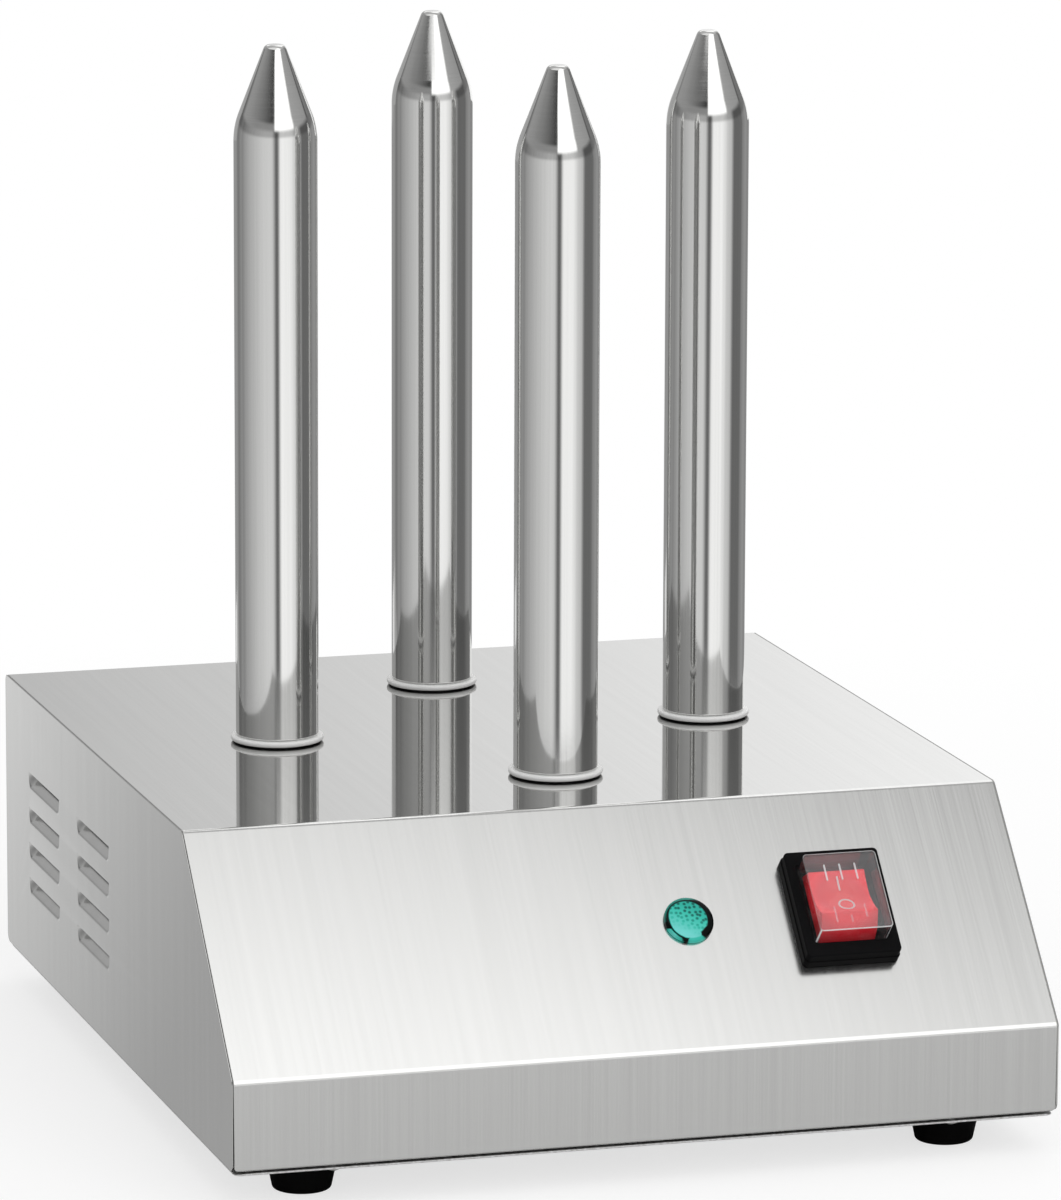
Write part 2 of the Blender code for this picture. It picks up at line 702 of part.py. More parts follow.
def spikes(polished, gasket_rubber, zinc, sheath):
    """Four spikes, each with its gasket, nut and heating rod."""
    neck_hole = NECK_RADIUS + FIT_GAP
    kinds = (
        ("spike_", turned_shape(spike_profile(), SPIKE_STEPS), polished, 0),
        ("spike_gasket_", turned_shape(gasket_profile(), SPIKE_STEPS), gasket_rubber, FIT_GAP),
        ("spike_nut_", nut_shape(NUT_FLATS, NUT_HEIGHT, neck_hole, SMALL_STEPS), zinc, NUT_TOP - NUT_HEIGHT),
        ("heating_rod_", turned_shape(heater_profile(), SMALL_STEPS), sheath, 0),
    )
    for prefix, shape, surface, rise in kinds:
        first = None
        for name, (x, y) in spike_places().items():
            place = (x, y, HOUSING_TOP + rise)
            if first is None:
                first = solid(prefix + name, shape, surface, None, place)
                continue
            copy_of(first, prefix + name, None, place)


def grown(size, margin):
    """A width and length with the same margin added all round."""
    return size[0] + 2 * margin, size[1] + 2 * margin


def cover_size():
    return COVER_WIDTH, COVER_LENGTH


def rim_size():
    """Outline of the cover's rim, and of the switch flange that it lies on."""
    return grown(cover_size(), COVER_RIM_OVERHANG)


def cavity_size():
    return ROCKER_WIDTH + 2 * FIT_GAP, CAVITY_LENGTH


def barrel_size():
    return grown(cavity_size(), SWITCH_WALL)


def switch_surround(surface, slope_frame):
    """The black frame on the slope: the cover stands out of it, its recess takes rim and flange."""
    place = (SWITCH_X, ROW_RISE, 0)
    size = (SURROUND_WIDTH, SURROUND_LENGTH, SURROUND_RADIUS)
    surround = block("switch_surround", *size, FIT_GAP, SURROUND_THICKNESS, surface, slope_frame, place)
    edges = surround.modifiers.new("eased_edges", "BEVEL")
    edges.width = SURROUND_EASE
    edges.segments = 1
    edges.limit_method = "ANGLE"
    high = SURROUND_THICKNESS + OVERRUN
    opening = (*grown(cover_size(), FIT_GAP), COVER_RADIUS, -OVERRUN, high, surface, slope_frame, place)
    recess = (*grown(rim_size(), FIT_GAP), COVER_RADIUS, -OVERRUN, RECESS_TOP, surface, slope_frame, place)
    cut(surround, block("surround_opening", *opening), block("surround_recess", *recess))
    return surround


def switch_cover(surface, slope_frame):
    """The clear cap over the rocker, with a rim that the surround holds down on the switch flange."""
    place = (SWITCH_X, ROW_RISE, 0)
    outer = (*cover_size(), COVER_RADIUS, COVER_BOTTOM, COVER_RISE, surface, slope_frame, place)
    cover = block("switch_cover", *outer)
    rim_top = COVER_BOTTOM + COVER_RIM_THICKNESS
    rim = (*rim_size(), COVER_RADIUS, COVER_BOTTOM, rim_top, surface, slope_frame, place)
    join(cover, block("cover_rim", *rim))
    radius = COVER_RADIUS - COVER_WALL
    inside = grown(cover_size(), -COVER_WALL)
    inner = (*inside, radius, -OVERRUN, COVER_RISE - COVER_WALL, surface, slope_frame, place)
    cut(cover, block("cover_hollow", *inner))
    return cover


def switch_body(surface, slope_frame):
    """The switch's own housing: a thin flange on the slope, a barrel behind it, a well for the rocker."""
    place = (SWITCH_X, ROW_RISE, 0)
    top = SWITCH_FLANGE_THICKNESS
    barrel = (*barrel_size(), SWITCH_WALL, -SWITCH_DEPTH, top, surface, slope_frame, place)
    body = block("switch_body", *barrel)
    flange = (*rim_size(), COVER_RADIUS, FIT_GAP, top, surface, slope_frame, place)
    join(body, block("switch_flange", *flange))
    well = (*cavity_size(), SWITCH_WALL / 2, -CAVITY_DEPTH, top + OVERRUN, surface, slope_frame, place)
    cut(body, block("switch_well", *well))
    half = barrel_size()[0] / 2 + OVERRUN
    hole = regular_outline(TRUNNION_RADIUS + FIT_GAP, SCREW_STEPS)
    pivot = (SWITCH_X, ROW_RISE, -PIVOT_DEPTH)
    cut(body, solid("pivot_hole", prism_shape(hole, -half, half, "X"), surface, slope_frame, pivot))
    return body


def rocker_outline():
    """Section of the rocker across its pivot: a hollow arc on top, bevelled ends, drawn-in sole."""
    radius = (ROCKER_FACE_REACH**2 + ROCKER_FACE_SAG**2) / (2 * ROCKER_FACE_SAG)
    face = []
    for step in range(ROCKER_FACE_STEPS + 1):
        reach = ROCKER_FACE_REACH * (1 - 2 * step / ROCKER_FACE_STEPS)
        sink = math.sqrt(radius**2 - reach**2) - (radius - ROCKER_FACE_SAG)
        face.append((reach, ROCKER_FACE_RISE - sink))
    flank = [
        (ROCKER_SOLE_REACH, -ROCKER_SOLE_DROP),
        (ROCKER_SKIRT_REACH, ROCKER_SKIRT_RISE),
        (ROCKER_END_REACH, ROCKER_END_RISE),
    ]
    return flank + face + [(-reach, rise) for reach, rise in reversed(flank)]


def switch_rocker(surface, slope_frame):
    """The rocker, its origin on the pivot, turned to the position with its upper end pressed in."""
    half = ROCKER_WIDTH / 2
    pivot = frame("rocker_pivot", (SWITCH_X, ROW_RISE, -PIVOT_DEPTH), (-ROCKER_HALF_TRAVEL, 0, 0))
    pivot.parent = slope_frame
    rocker = solid("switch_rocker", prism_shape(rocker_outline(), -half, half, "X"), surface, pivot)
    reach = half + TRUNNION_STICK_OUT
    pin = prism_shape(regular_outline(TRUNNION_RADIUS, SCREW_STEPS), -reach, reach, "X")
    join(rocker, solid("trunnions", pin, surface, pivot))
    return rocker


def switch_blades(surface, slope_frame):
    """Four push-on terminals under the switch body."""
    first = None
    for end_name, end in (("upper", 1), ("lower", -1)):
        for side_name, side in (("left", -1), ("right", 1)):
            name = f"switch_blade_{end_name}_{side_name}"
            x = SWITCH_X + side * BLADE_SPREAD_X
            place = (x, ROW_RISE + end * BLADE_SPREAD_Y, -SWITCH_DEPTH - FIT_GAP)
            if first is None:
                outline = rounded_rectangle(BLADE_THICKNESS, BLADE_WIDTH, BLADE_THICKNESS / 4, 1)
                shape = prism_shape(outline, -BLADE_LENGTH, 0)
                first = solid(name, shape, surface, slope_frame, place)
                continue
            copy_of(first, name, slope_frame, place)


def pilot_lamp(lens_surface, body_surface, clip_surface, slope_frame):
    """Lens on the slope, lamp body through it, and the push-on clip that holds the body."""
    place = (LAMP_X, ROW_RISE, 0)
    edge = LENS_RADIUS - LENS_ROUNDING
    lens = [
        (0, -LENS_SPIGOT_LENGTH),
        (LENS_SPIGOT_RADIUS, -LENS_SPIGOT_LENGTH),
        (LENS_SPIGOT_RADIUS, FIT_GAP),
        (LENS_RADIUS, FIT_GAP),
        (LENS_RADIUS, LENS_HEIGHT - LENS_ROUNDING),
        (edge + LENS_ROUNDING / math.sqrt(2), LENS_HEIGHT - LENS_ROUNDING * (1 - math.sqrt(0.5))),
        (edge, LENS_HEIGHT),
        (0, LENS_HEIGHT),
    ]
    solid("lamp_lens", turned_shape(lens, FINE_STEPS), lens_surface, slope_frame, place)
    well = LENS_SPIGOT_RADIUS + FIT_GAP
    body = [
        (0, -LAMP_LENGTH),
        (LAMP_RADIUS, -LAMP_LENGTH),
        (LAMP_RADIUS, 0),
        (well, 0),
        (well, -LENS_SPIGOT_LENGTH - FIT_GAP),
        (0, -LENS_SPIGOT_LENGTH - FIT_GAP),
    ]
    solid("lamp_body", turned_shape(body, SMALL_STEPS), body_surface, slope_frame, place)
    top = -SHEET - FIT_GAP
    hole = LAMP_RADIUS + FIT_GAP
    clip = [
        (hole, top - CLIP_THICKNESS),
        (CLIP_RADIUS, top - CLIP_THICKNESS),
        (CLIP_RADIUS, top),
        (hole, top),
    ]
    solid("lamp_clip", turned_shape(clip, SMALL_STEPS), clip_surface, slope_frame, place)


def cable_gland(plastic, rubber, gland_frame):
    """Gland body through the back, locknut inside, seal and dome nut outside."""
    inside = -SHEET - FIT_GAP - LOCKNUT_THICKNESS - GLAND_TAIL
    tube = [
        (GLAND_BORE_RADIUS, inside),
        (GLAND_SHANK_RADIUS, inside),
        (GLAND_SHANK_RADIUS, GLAND_FLANGE_THICKNESS / 2),
        (GLAND_THREAD_RADIUS, GLAND_FLANGE_THICKNESS / 2),
        (GLAND_THREAD_RADIUS, THREAD_END),
        (GLAND_BORE_RADIUS, THREAD_END),
    ]
    body = solid("cable_gland_body", turned_shape(tube, GLAND_STEPS), plastic, gland_frame)
    ring_bore = (GLAND_THREAD_RADIUS + GLAND_BORE_RADIUS) / 2
    flange = nut_shape(GLAND_FLATS, GLAND_FLANGE_THICKNESS - FIT_GAP, ring_bore, GLAND_STEPS)
    join(body, solid("gland_flange", flange, plastic, gland_frame, (0, 0, FIT_GAP)))
    locknut = nut_shape(LOCKNUT_FLATS, LOCKNUT_THICKNESS, GLAND_SHANK_RADIUS + FIT_GAP, GLAND_STEPS)
    place = (0, 0, -SHEET - FIT_GAP - LOCKNUT_THICKNESS)
    solid("cable_gland_locknut", locknut, plastic, gland_frame, place)
    seal = [
        (SEAL_BORE_RADIUS, THREAD_END + FIT_GAP),
        (GLAND_THREAD_RADIUS, THREAD_END + FIT_GAP),
        (GLAND_THREAD_RADIUS, SEAL_TOP),
        (SEAL_BORE_RADIUS, SEAL_TOP),
    ]
    solid("cable_gland_seal", turned_shape(seal, GLAND_STEPS), rubber, gland_frame)
    inner = GLAND_THREAD_RADIUS + FIT_GAP
    foot = GLAND_FLANGE_THICKNESS + FIT_GAP
    dome = [
        (inner, foot),
        (DOME_RADIUS, foot),
        (DOME_RADIUS, foot + DOME_SHOULDER),
        ((DOME_RADIUS + DOME_MOUTH_RADIUS) / 2, (foot + DOME_SHOULDER + 2 * GLAND_REACH) / 3),
        (DOME_MOUTH_RADIUS, GLAND_REACH),
        (GLAND_BORE_RADIUS, GLAND_REACH),
        (GLAND_BORE_RADIUS, SEAL_TOP + FIT_GAP),
        (inner, SEAL_TOP + FIT_GAP),
    ]
    solid("cable_gland_dome_nut", turned_shape(dome, GLAND_STEPS), plastic, gland_frame)


def terminal_block(surface):
    """A ceramic block on the base plate, bored through for its poles."""
    bottom = BASE_TOP + FIT_GAP
    place = (GLAND_X, BACK - BLOCK_SETBACK, 0)
    size = (BLOCK_WIDTH, BLOCK_DEPTH, CORNER_RADIUS)
    body = block("terminal_block", *size, bottom, bottom + BLOCK_HEIGHT, surface, None, place)
    half = BLOCK_DEPTH / 2 + OVERRUN
    for pole in range(BLOCK_POLES):
        shape = prism_shape(regular_outline(BLOCK_HOLE_RADIUS, SCREW_STEPS), -half, half)
        bmesh.ops.rotate(shape, verts=shape.verts, matrix=Matrix.Rotation(math.pi / 2, 3, "X"))
        spot = (place[0] + pole_offset(pole), place[1], bottom + BLOCK_HEIGHT / 3)
        cut(body, solid(f"pole_hole_{pole}", shape, surface, None, spot))
    return body


def pole_offset(pole):
    """Distance of a pole from the middle of the terminal block."""
    return BLOCK_WIDTH * ((pole + 0.5) / BLOCK_POLES - 0.5)


def thermostat(surface):
    """A disc thermostat against the underside of the top plate, in the middle of the diamond."""
    top = -SHEET - FIT_GAP
    place = (0, SPIKE_MIDDLE, HOUSING_TOP)
    return rod("thermostat", THERMOSTAT_RADIUS, top - THERMOSTAT_HEIGHT, top, FINE_STEPS, surface, None, place)


def earth_post(brass):
    """A threaded stud on the base plate for the earth lead, with its nut."""
    bottom = BASE_TOP + FIT_GAP
    place = (EARTH_X, BACK - EARTH_SETBACK, 0)
    rod("earth_stud", EARTH_RADIUS, bottom, bottom + EARTH_HEIGHT, SCREW_STEPS, brass, None, place)
    shape = nut_shape(EARTH_NUT_FLATS, EARTH_NUT_HEIGHT, EARTH_RADIUS + FIT_GAP, SCREW_STEPS)
    solid("earth_nut", shape, brass, None, (place[0], place[1], bottom))


def smooth_route(stops):
    """Evenly spaced points on a Catmull-Rom curve through the stops, which it meets exactly."""
    stops = [Vector(stop) for stop in stops]
    padded = [2 * stops[0] - stops[1]] + stops + [2 * stops[-1] - stops[-2]]
    route = [stops[0]]
    for a, b, c, d in zip(padded, padded[1:], padded[2:], padded[3:]):
        count = max(WIRE_SPAN_LEAST, round((c - b).length / WIRE_STEP))
        for step in range(1, count + 1):
            t = step / count
            bend = 2 * b + (c - a) * t + (2 * a - 5 * b + 4 * c - d) * t**2 + (3 * b - a - 3 * c + d) * t**3
            route.append(bend / 2)
    return route


def wire(name, stops, surface):
    """A round wire along a smooth route, closed at both ends."""
    route = smooth_route(stops)
    curve = bpy.data.curves.new(name, "CURVE")
    curve.dimensions = "3D"
    curve.bevel_depth = WIRE_RADIUS
    curve.bevel_resolution = 1
    curve.use_fill_caps = True
    spline = curve.splines.new("POLY")
    spline.points.add(len(route) - 1)
    for point, spot in zip(spline.points, route):
        point.co = (*spot, 1.0)
    curve.materials.append(surface)
    thing = bpy.data.objects.new(name, curve)
    bpy.context.scene.collection.objects.link(thing)
    return thing


def below_heater(name, shift):
    """A point just under a heating rod's end, moved away from the middle of the diamond by shift."""
    x, y = spike_places()[name]
    out = Vector((x - SPIKE_SHIFT, y - SPIKE_MIDDLE)).normalized() * shift
    return (x + out.x, y + out.y, HOUSING_TOP + HEATER_BOTTOM - FIT_GAP - WIRE_RADIUS)


def blade_end(end, side, slope_turn, beyond):
    """A point past the tip of a switch blade, in the machine's frame."""
    depth = -SWITCH_DEPTH - FIT_GAP - BLADE_LENGTH - FIT_GAP - beyond
    spot = Vector((SWITCH_X + side * BLADE_SPREAD_X, ROW_RISE + end * BLADE_SPREAD_Y, depth))
    middle = Vector((0, FRONT + SLOPE_RUN / 2, HOUSING_BOTTOM + STRIP_HEIGHT + SLOPE_RISE / 2))
    return tuple(middle + slope_turn @ spot)


def block_top(pole, above):
    """A point above one pole of the terminal block."""
    x = GLAND_X + pole_offset(pole)
    return (x, BACK - BLOCK_SETBACK, BASE_TOP + FIT_GAP + BLOCK_HEIGHT + FIT_GAP + above)


def dipping(stops, drop):
    """The stops, with a lower one halfway between each pair."""
    hung = [Vector(stops[0])]
    for before, after in zip(stops, stops[1:]):
        middle = (Vector(before) + Vector(after)) / 2
        hung += [middle - Vector((0, 0, drop)), Vector(after)]
    return hung


def wires(surface):
    """Feed to the switch, switched line to the thermostat, and two chains past the heating rods."""
    slope_turn = Matrix.Rotation(SLOPE_ANGLE, 3, "X")
    lead = WIRE_LEAD
    low = HOUSING_BOTTOM + STRIP_HEIGHT / 2
    for name, pole, side in (("wire_feed_live", 1, 1), ("wire_feed_neutral", 0, -1)):
        x = SWITCH_X + side * BLADE_SPREAD_X
        wire(
            name,
            [
                block_top(pole, 0),
                block_top(pole, lead / 2),
                block_top(pole, lead),
                (x, SPIKE_MIDDLE, low + side * WIRE_OFFSET),
                blade_end(1, side, slope_turn, lead),
                blade_end(1, side, slope_turn, lead / 2),
                blade_end(1, side, slope_turn, 0),
            ],
            surface,
        )
    under = HOUSING_TOP - SHEET - FIT_GAP - THERMOSTAT_HEIGHT - FIT_GAP
    leg = THERMOSTAT_RADIUS / 2
    wire(
        "wire_switched_line",
        [
            blade_end(-1, -1, slope_turn, 0),
            blade_end(-1, -1, slope_turn, lead / 2),
            blade_end(-1, -1, slope_turn, lead),
            (SWITCH_X / 2, (CREASE + SPIKE_MIDDLE) / 2, HOUSING_BOTTOM + HOUSING_HEIGHT / 2),
            (leg, SPIKE_MIDDLE, under - lead),
            (leg, SPIKE_MIDDLE, under - lead / 2),
            (leg, SPIKE_MIDDLE, under),
        ],
        surface,
    )
    line = [below_heater(name, -WIRE_OFFSET) for name in ("front", "left", "rear", "right")]
    start = [(-leg, SPIKE_MIDDLE, under - below) for below in (0, lead / 4, lead / 2)]
    wire("wire_heater_line", start + dipping(line, 0), surface)
    back = [below_heater(name, WIRE_OFFSET) for name in ("right", "front", "left", "rear")]
    landing = [block_top(2, above) for above in (lead, lead / 2, 0)]
    descent = [Vector(back[-1]) + Vector((lead, 0, -lead / 2))]
    wire("wire_heater_return", dipping(back, lead / 2) + descent + landing, surface)


def build():
    clear_scene()
    surfaces = finishes()
    steel = surfaces["brushed_steel"]
    zinc = surfaces["zinc"]
    black = surfaces["black_plastic"]
    slope_middle = (0, FRONT + SLOPE_RUN / 2, HOUSING_BOTTOM + STRIP_HEIGHT + SLOPE_RISE / 2)
    slope_frame = frame("slope_frame", slope_middle, (SLOPE_ANGLE, 0, 0))
    gland_frame = frame("gland_frame", (GLAND_X, BACK, HOUSING_BOTTOM + GLAND_RISE), (-math.pi / 2, 0, 0))
    housing_wrap(steel, slope_frame, gland_frame)
    side_panel("side_panel_left", -1, steel)
    side_panel("side_panel_right", 1, steel)
    base_plate(steel)
    feet(surfaces["black_rubber"], zinc)
    base_screws(zinc)
    spikes(surfaces["polished_steel"], surfaces["pale_gasket"], zinc, steel)
    switch_surround(black, slope_frame)
    switch_cover(surfaces["clear_plastic"], slope_frame)
    switch_body(black, slope_frame)
    switch_rocker(surfaces["red_plastic"], slope_frame)
    switch_blades(surfaces["brass"], slope_frame)
    pilot_lamp(surfaces["green_lens"], surfaces["ceramic"], zinc, slope_frame)
    cable_gland(surfaces["grey_polyamide"], surfaces["black_rubber"], gland_frame)
    terminal_block(surfaces["ceramic"])
    thermostat(surfaces["ceramic"])
    earth_post(surfaces["brass"])
    wires(surfaces["wire_cover"])


if __name__ == "__main__":
    build()
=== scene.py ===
"""The look of a hot dog spike machine: smooth sheet steel, polished spikes, a pilot lamp and a
switch under a clear cover, fitted over the packed solids, with a plain stage around them.

Laid out as an add-on. Metres, +Z up, the control panel towards -Y.
"""

import json
import math

import bmesh
import bpy
import numpy as np
from bpy.props import FloatProperty, FloatVectorProperty, IntProperty, PointerProperty
from mathutils import Matrix
from mathutils.geometry import tessellate_polygon


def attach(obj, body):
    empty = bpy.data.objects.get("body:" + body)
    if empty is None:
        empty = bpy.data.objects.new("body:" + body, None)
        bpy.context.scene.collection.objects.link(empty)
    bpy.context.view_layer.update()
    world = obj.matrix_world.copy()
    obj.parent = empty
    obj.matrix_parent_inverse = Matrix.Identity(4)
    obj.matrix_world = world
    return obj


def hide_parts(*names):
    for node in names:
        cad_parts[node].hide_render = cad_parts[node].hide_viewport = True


bl_info = {
    "name": "Hot Dog Spike Machine",
    "version": (1, 0, 0),
    "blender": (4, 5, 0),
    "location": "View3D > Sidebar > Spike Machine",
    "description": "Dresses the solids of a hot dog spike machine with smooth surfaces and finishes",
    "category": "Add Mesh",
}

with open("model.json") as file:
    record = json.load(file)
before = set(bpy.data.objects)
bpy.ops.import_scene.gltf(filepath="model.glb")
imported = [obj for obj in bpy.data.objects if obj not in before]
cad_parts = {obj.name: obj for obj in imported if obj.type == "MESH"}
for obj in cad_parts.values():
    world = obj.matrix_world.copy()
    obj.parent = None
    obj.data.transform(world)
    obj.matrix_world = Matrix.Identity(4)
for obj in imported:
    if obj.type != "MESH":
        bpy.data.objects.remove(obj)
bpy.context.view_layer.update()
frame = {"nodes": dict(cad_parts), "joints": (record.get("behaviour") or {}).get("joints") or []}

ENDS = ("front_left", "front_right", "rear_left", "rear_right")
SPOTS = ("front", "left", "rear", "right")
UPRIGHT = np.eye(3)
# Points closer than this are one; steps of a quarter round, of a turned piece and of a screw hole;
# and the least angle between faces that stays sharp
WELD = 1e-7
ROUND_STEPS = 10
TURN_STEPS = 96
SCREW_STEPS = 24
SMOOTH_ANGLE = math.radians(30)


def mesh_points(mesh):
    """A mesh's points, one row of x, y, z each."""
    points = np.empty(len(mesh.vertices) * 3, np.float32)
    mesh.vertices.foreach_get("co", points)
    return points.reshape(-1, 3).astype(float)


def node_span(name, origin=(0, 0, 0), axes=UPRIGHT):
    """Lowest and highest corner of a packed solid, along the given axes from the origin."""
    local = (mesh_points(frame["nodes"][name].data) - origin) @ np.asarray(axes).T
    return local.min(0), local.max(0)


def middle_of(name):
    """Middle of a packed solid's box."""
    low, high = node_span(name)
    return (low + high) / 2


# Outer faces of the folded sheet, and of the right side panel
WRAP_LOW, WRAP_HIGH = node_span("housing_wrap")
FRONT, BOTTOM = WRAP_LOW[1], WRAP_LOW[2]
BACK, TOP = WRAP_HIGH[1], WRAP_HIGH[2]
PANEL_FACE = node_span("side_panel_right")[1][0]


# What a user may change

def metres(name, description, default):
    """A length."""
    return FloatProperty(name=name, description=description, default=default, unit="LENGTH")


def degrees(name, description, default):
    """An angle, given in degrees."""
    return FloatProperty(name=name, description=description, default=math.radians(default), unit="ROTATION")


def fraction(name, description, default):
    """A number from 0 to 1."""
    return FloatProperty(name=name, description=description, default=default, min=0, max=1)


def tint(name, description, default):
    """A colour."""
    return FloatVectorProperty(
        name=name, description=description, default=default, subtype="COLOR", min=0, max=1
    )


class HousingSizes(bpy.types.PropertyGroup):
    """Sizes and colour of the sheet metal housing."""

    strip_height: metres("Strip height", "Upright strip below the slope", 0.0295)
    slope_run: metres("Slope run", "How far the slope reaches back", 0.0655)
    sheet: metres("Sheet", "Thickness of the folded sheet", 0.001)
    panel_sheet: metres("Panel sheet", "Thickness of a side panel", 0.0006)
    fold_radius: metres("Fold radius", "Outer radius of the two long folds", 0.0027)
    lip_radius: metres("Lip radius", "Outer radius of the folds at the foot", 0.0012)
    lip_width: metres("Lip width", "How far the turned lips at the foot reach in", 0.014)
    edge_radius: metres("Edge radius", "Softness of the sheet's cut edges", 0.00022)
    seam: metres("Seam", "Gap between panel and sheet", 0.00035)
    base_sheet: metres("Base sheet", "Thickness of the base plate", 0.00065)
    corner_radius: metres("Corner radius", "Rounding of the strip's lower corners", 0.0021)
    flange_depth: metres("Flange depth", "How far a panel's flange reaches in", 0.011)
    flange_gap: metres("Flange gap", "Between the sheet's face and the flange", 0.0013)
    screw_hole: metres("Screw hole", "Radius of a base screw's hole in the lip", 0.0018)
    base_hole: metres("Base hole", "Radius of a screw's hole in the base plate", 0.0023)
    steel_colour: tint("Steel", "Tint of the sheet", (0.70, 0.70, 0.69))


class LouvreSizes(bpy.types.PropertyGroup):
    """Sizes of the pressed louvres in the side panels."""

    length: metres("Length", "Length of a louvre along the panel", 0.047)
    height: metres("Height", "Height of a louvre from its slit down", 0.0060)
    depth: metres("Depth", "How far a louvre is pressed in", 0.0045)
    corner: metres("Corner", "Rounding of a louvre's lower ends", 0.0027)
    taper: metres("Taper", "How far from its ends a louvre is at full depth", 0.0048)
    pitch: metres("Pitch", "From one row to the next", 0.0127)
    column_pitch: metres("Column pitch", "From one column to the next", 0.074)
    back_inset: metres("Back inset", "Middle of the rear column to the back", 0.060)
    top_drop: metres("Top drop", "First slit below the top", 0.028)
    rows: IntProperty(name="Rows", description="Louvres in a column", default=4, min=1)
    columns: IntProperty(name="Columns", description="Columns on a panel", default=2, min=1)


class SpikeSizes(bpy.types.PropertyGroup):
    """Sizes and colour of the four spikes and their seals."""

    cone_angle: degrees("Cone angle", "Half angle of the point", 21.3)
    shoulder_radius: metres("Shoulder radius", "Bend from tube to cone", 0.0265)
    nose_radius: metres("Nose radius", "Radius of the blunt tip", 0.0034)
    nose_rounding: metres("Nose rounding", "Rounding of the blunt tip's edge", 0.0022)
    wall: metres("Wall", "Wall of the tube", 0.0015)
    neck_radius: metres("Neck radius", "Radius of the threaded neck", 0.010)
    neck_bore: metres("Neck bore", "Radius of the neck's bore", 0.007)
    foot_gap: metres("Foot gap", "How far the tube stands above the top plate", 0.0026)
    foot_radius: metres("Foot radius", "Rounding of the tube's lower edge", 0.0005)
    seal_rounding: metres("Seal rounding", "Rounding of the seal ring's edge", 0.0007)
    seal_step: metres("Seal step", "Height of the dark gap under the seal ring", 0.00016)
    polish_colour: tint("Polish", "Tint of the tubes", (0.73, 0.73, 0.72))


class SwitchSizes(bpy.types.PropertyGroup):
    """Sizes and colours of the switch and its cover."""

    surround_radius: metres("Surround corner", "Corner radius of the frame", 0.0016)
    surround_ease: metres("Surround edge", "Rounding of the frame's top edge", 0.0006)
    surround_step: metres("Surround step", "How far the frame's foot stands out", 0.0003)
    cover_width: metres("Cover width", "Width of the cover across the slope", 0.0252)
    cover_length: metres("Cover length", "Length of the cover up the slope", 0.0292)
    cover_wall: metres("Cover wall", "Thickness of the cover's wall", 0.0006)
    cover_radius: metres("Cover corner", "Rounding of the cover's upright corners", 0.0014)
    cover_ease: metres("Cover edge", "Rounding of the cover's top edge", 0.00028)
    cover_haze: fraction("Cover haze", "Milkiness of the cover's top", 0.08)
    rim: metres("Rim", "How far the cover's rim stands out", 0.001)
    rim_thickness: metres("Rim thickness", "Thickness of the cover's rim", 0.0007)
    rib_width: metres("Rib width", "Width of a rib on the cover", 0.0006)
    rib_rise: metres("Rib rise", "Height of a rib above the cover", 0.0003)
    rib_pitch: metres("Rib pitch", "From rib to rib", 0.00525)
    fit_gap: metres("Gap", "Gap between pieces that touch", 0.0003)
    red: tint("Rocker red", "Colour of the rocker", (0.78, 0.025, 0.04))


class RockerSizes(bpy.types.PropertyGroup):
    """Sizes of the rocker, from its pivot."""

    tilt: degrees("Tilt", "Rest angle on the slope", -11.5)
    width: metres("Width", "Width of the rocker across the slope", 0.0195)
    face_reach: metres("Face reach", "Half the length of its face", 0.0091)
    face_rise: metres("Face rise", "Height of the face's ends", 0.0120)
    face_sag: metres("Face sag", "Depth of the hollow in its face", 0.0024)
    end_reach: metres("End reach", "Distance of the bevel's foot", 0.0123)
    end_rise: metres("End rise", "Height of the bevel's foot", 0.0064)
    skirt_reach: metres("Skirt reach", "Distance of the lower flank", 0.0126)
    skirt_rise: metres("Skirt rise", "Height of the lower flank", 0.0010)
    sole_reach: metres("Sole reach", "Half the length of the sole", 0.0075)
    sole_drop: metres("Sole drop", "How far the sole lies below the pivot", 0.0030)
    edge: metres("Edge", "Rounding of its edges", 0.0004)
    mark_line: metres("Mark line", "Width of the marks", 0.0007)
    mark_rise: metres("Mark rise", "Height of the marks above the face", 0.00008)
    bar_length: metres("Bar length", "Length of the bar mark", 0.0050)
    bar_place: metres("Bar place", "Middle of the bar mark, up the face", 0.0049)
    ring_radius: metres("Ring radius", "Radius of the ring mark", 0.0025)
    ring_aside: metres("Ring aside", "Middle of the ring mark, to the right", 0.0005)
    ring_place: metres("Ring place", "Middle of the ring mark, up the face", -0.0042)


class LampSizes(bpy.types.PropertyGroup):
    """Sizes and colour of the pilot lamp's window."""

    disc_rise: metres("Disc rise", "Height of the window above the slope", 0.0030)
    rim_rise: metres("Rim rise", "Height of the window's edge", 0.0012)
    spigot_radius: metres("Spigot radius", "Radius behind the sheet", 0.005)
    green: tint("Green", "Colour of the window", (0.04, 0.50, 0.40))


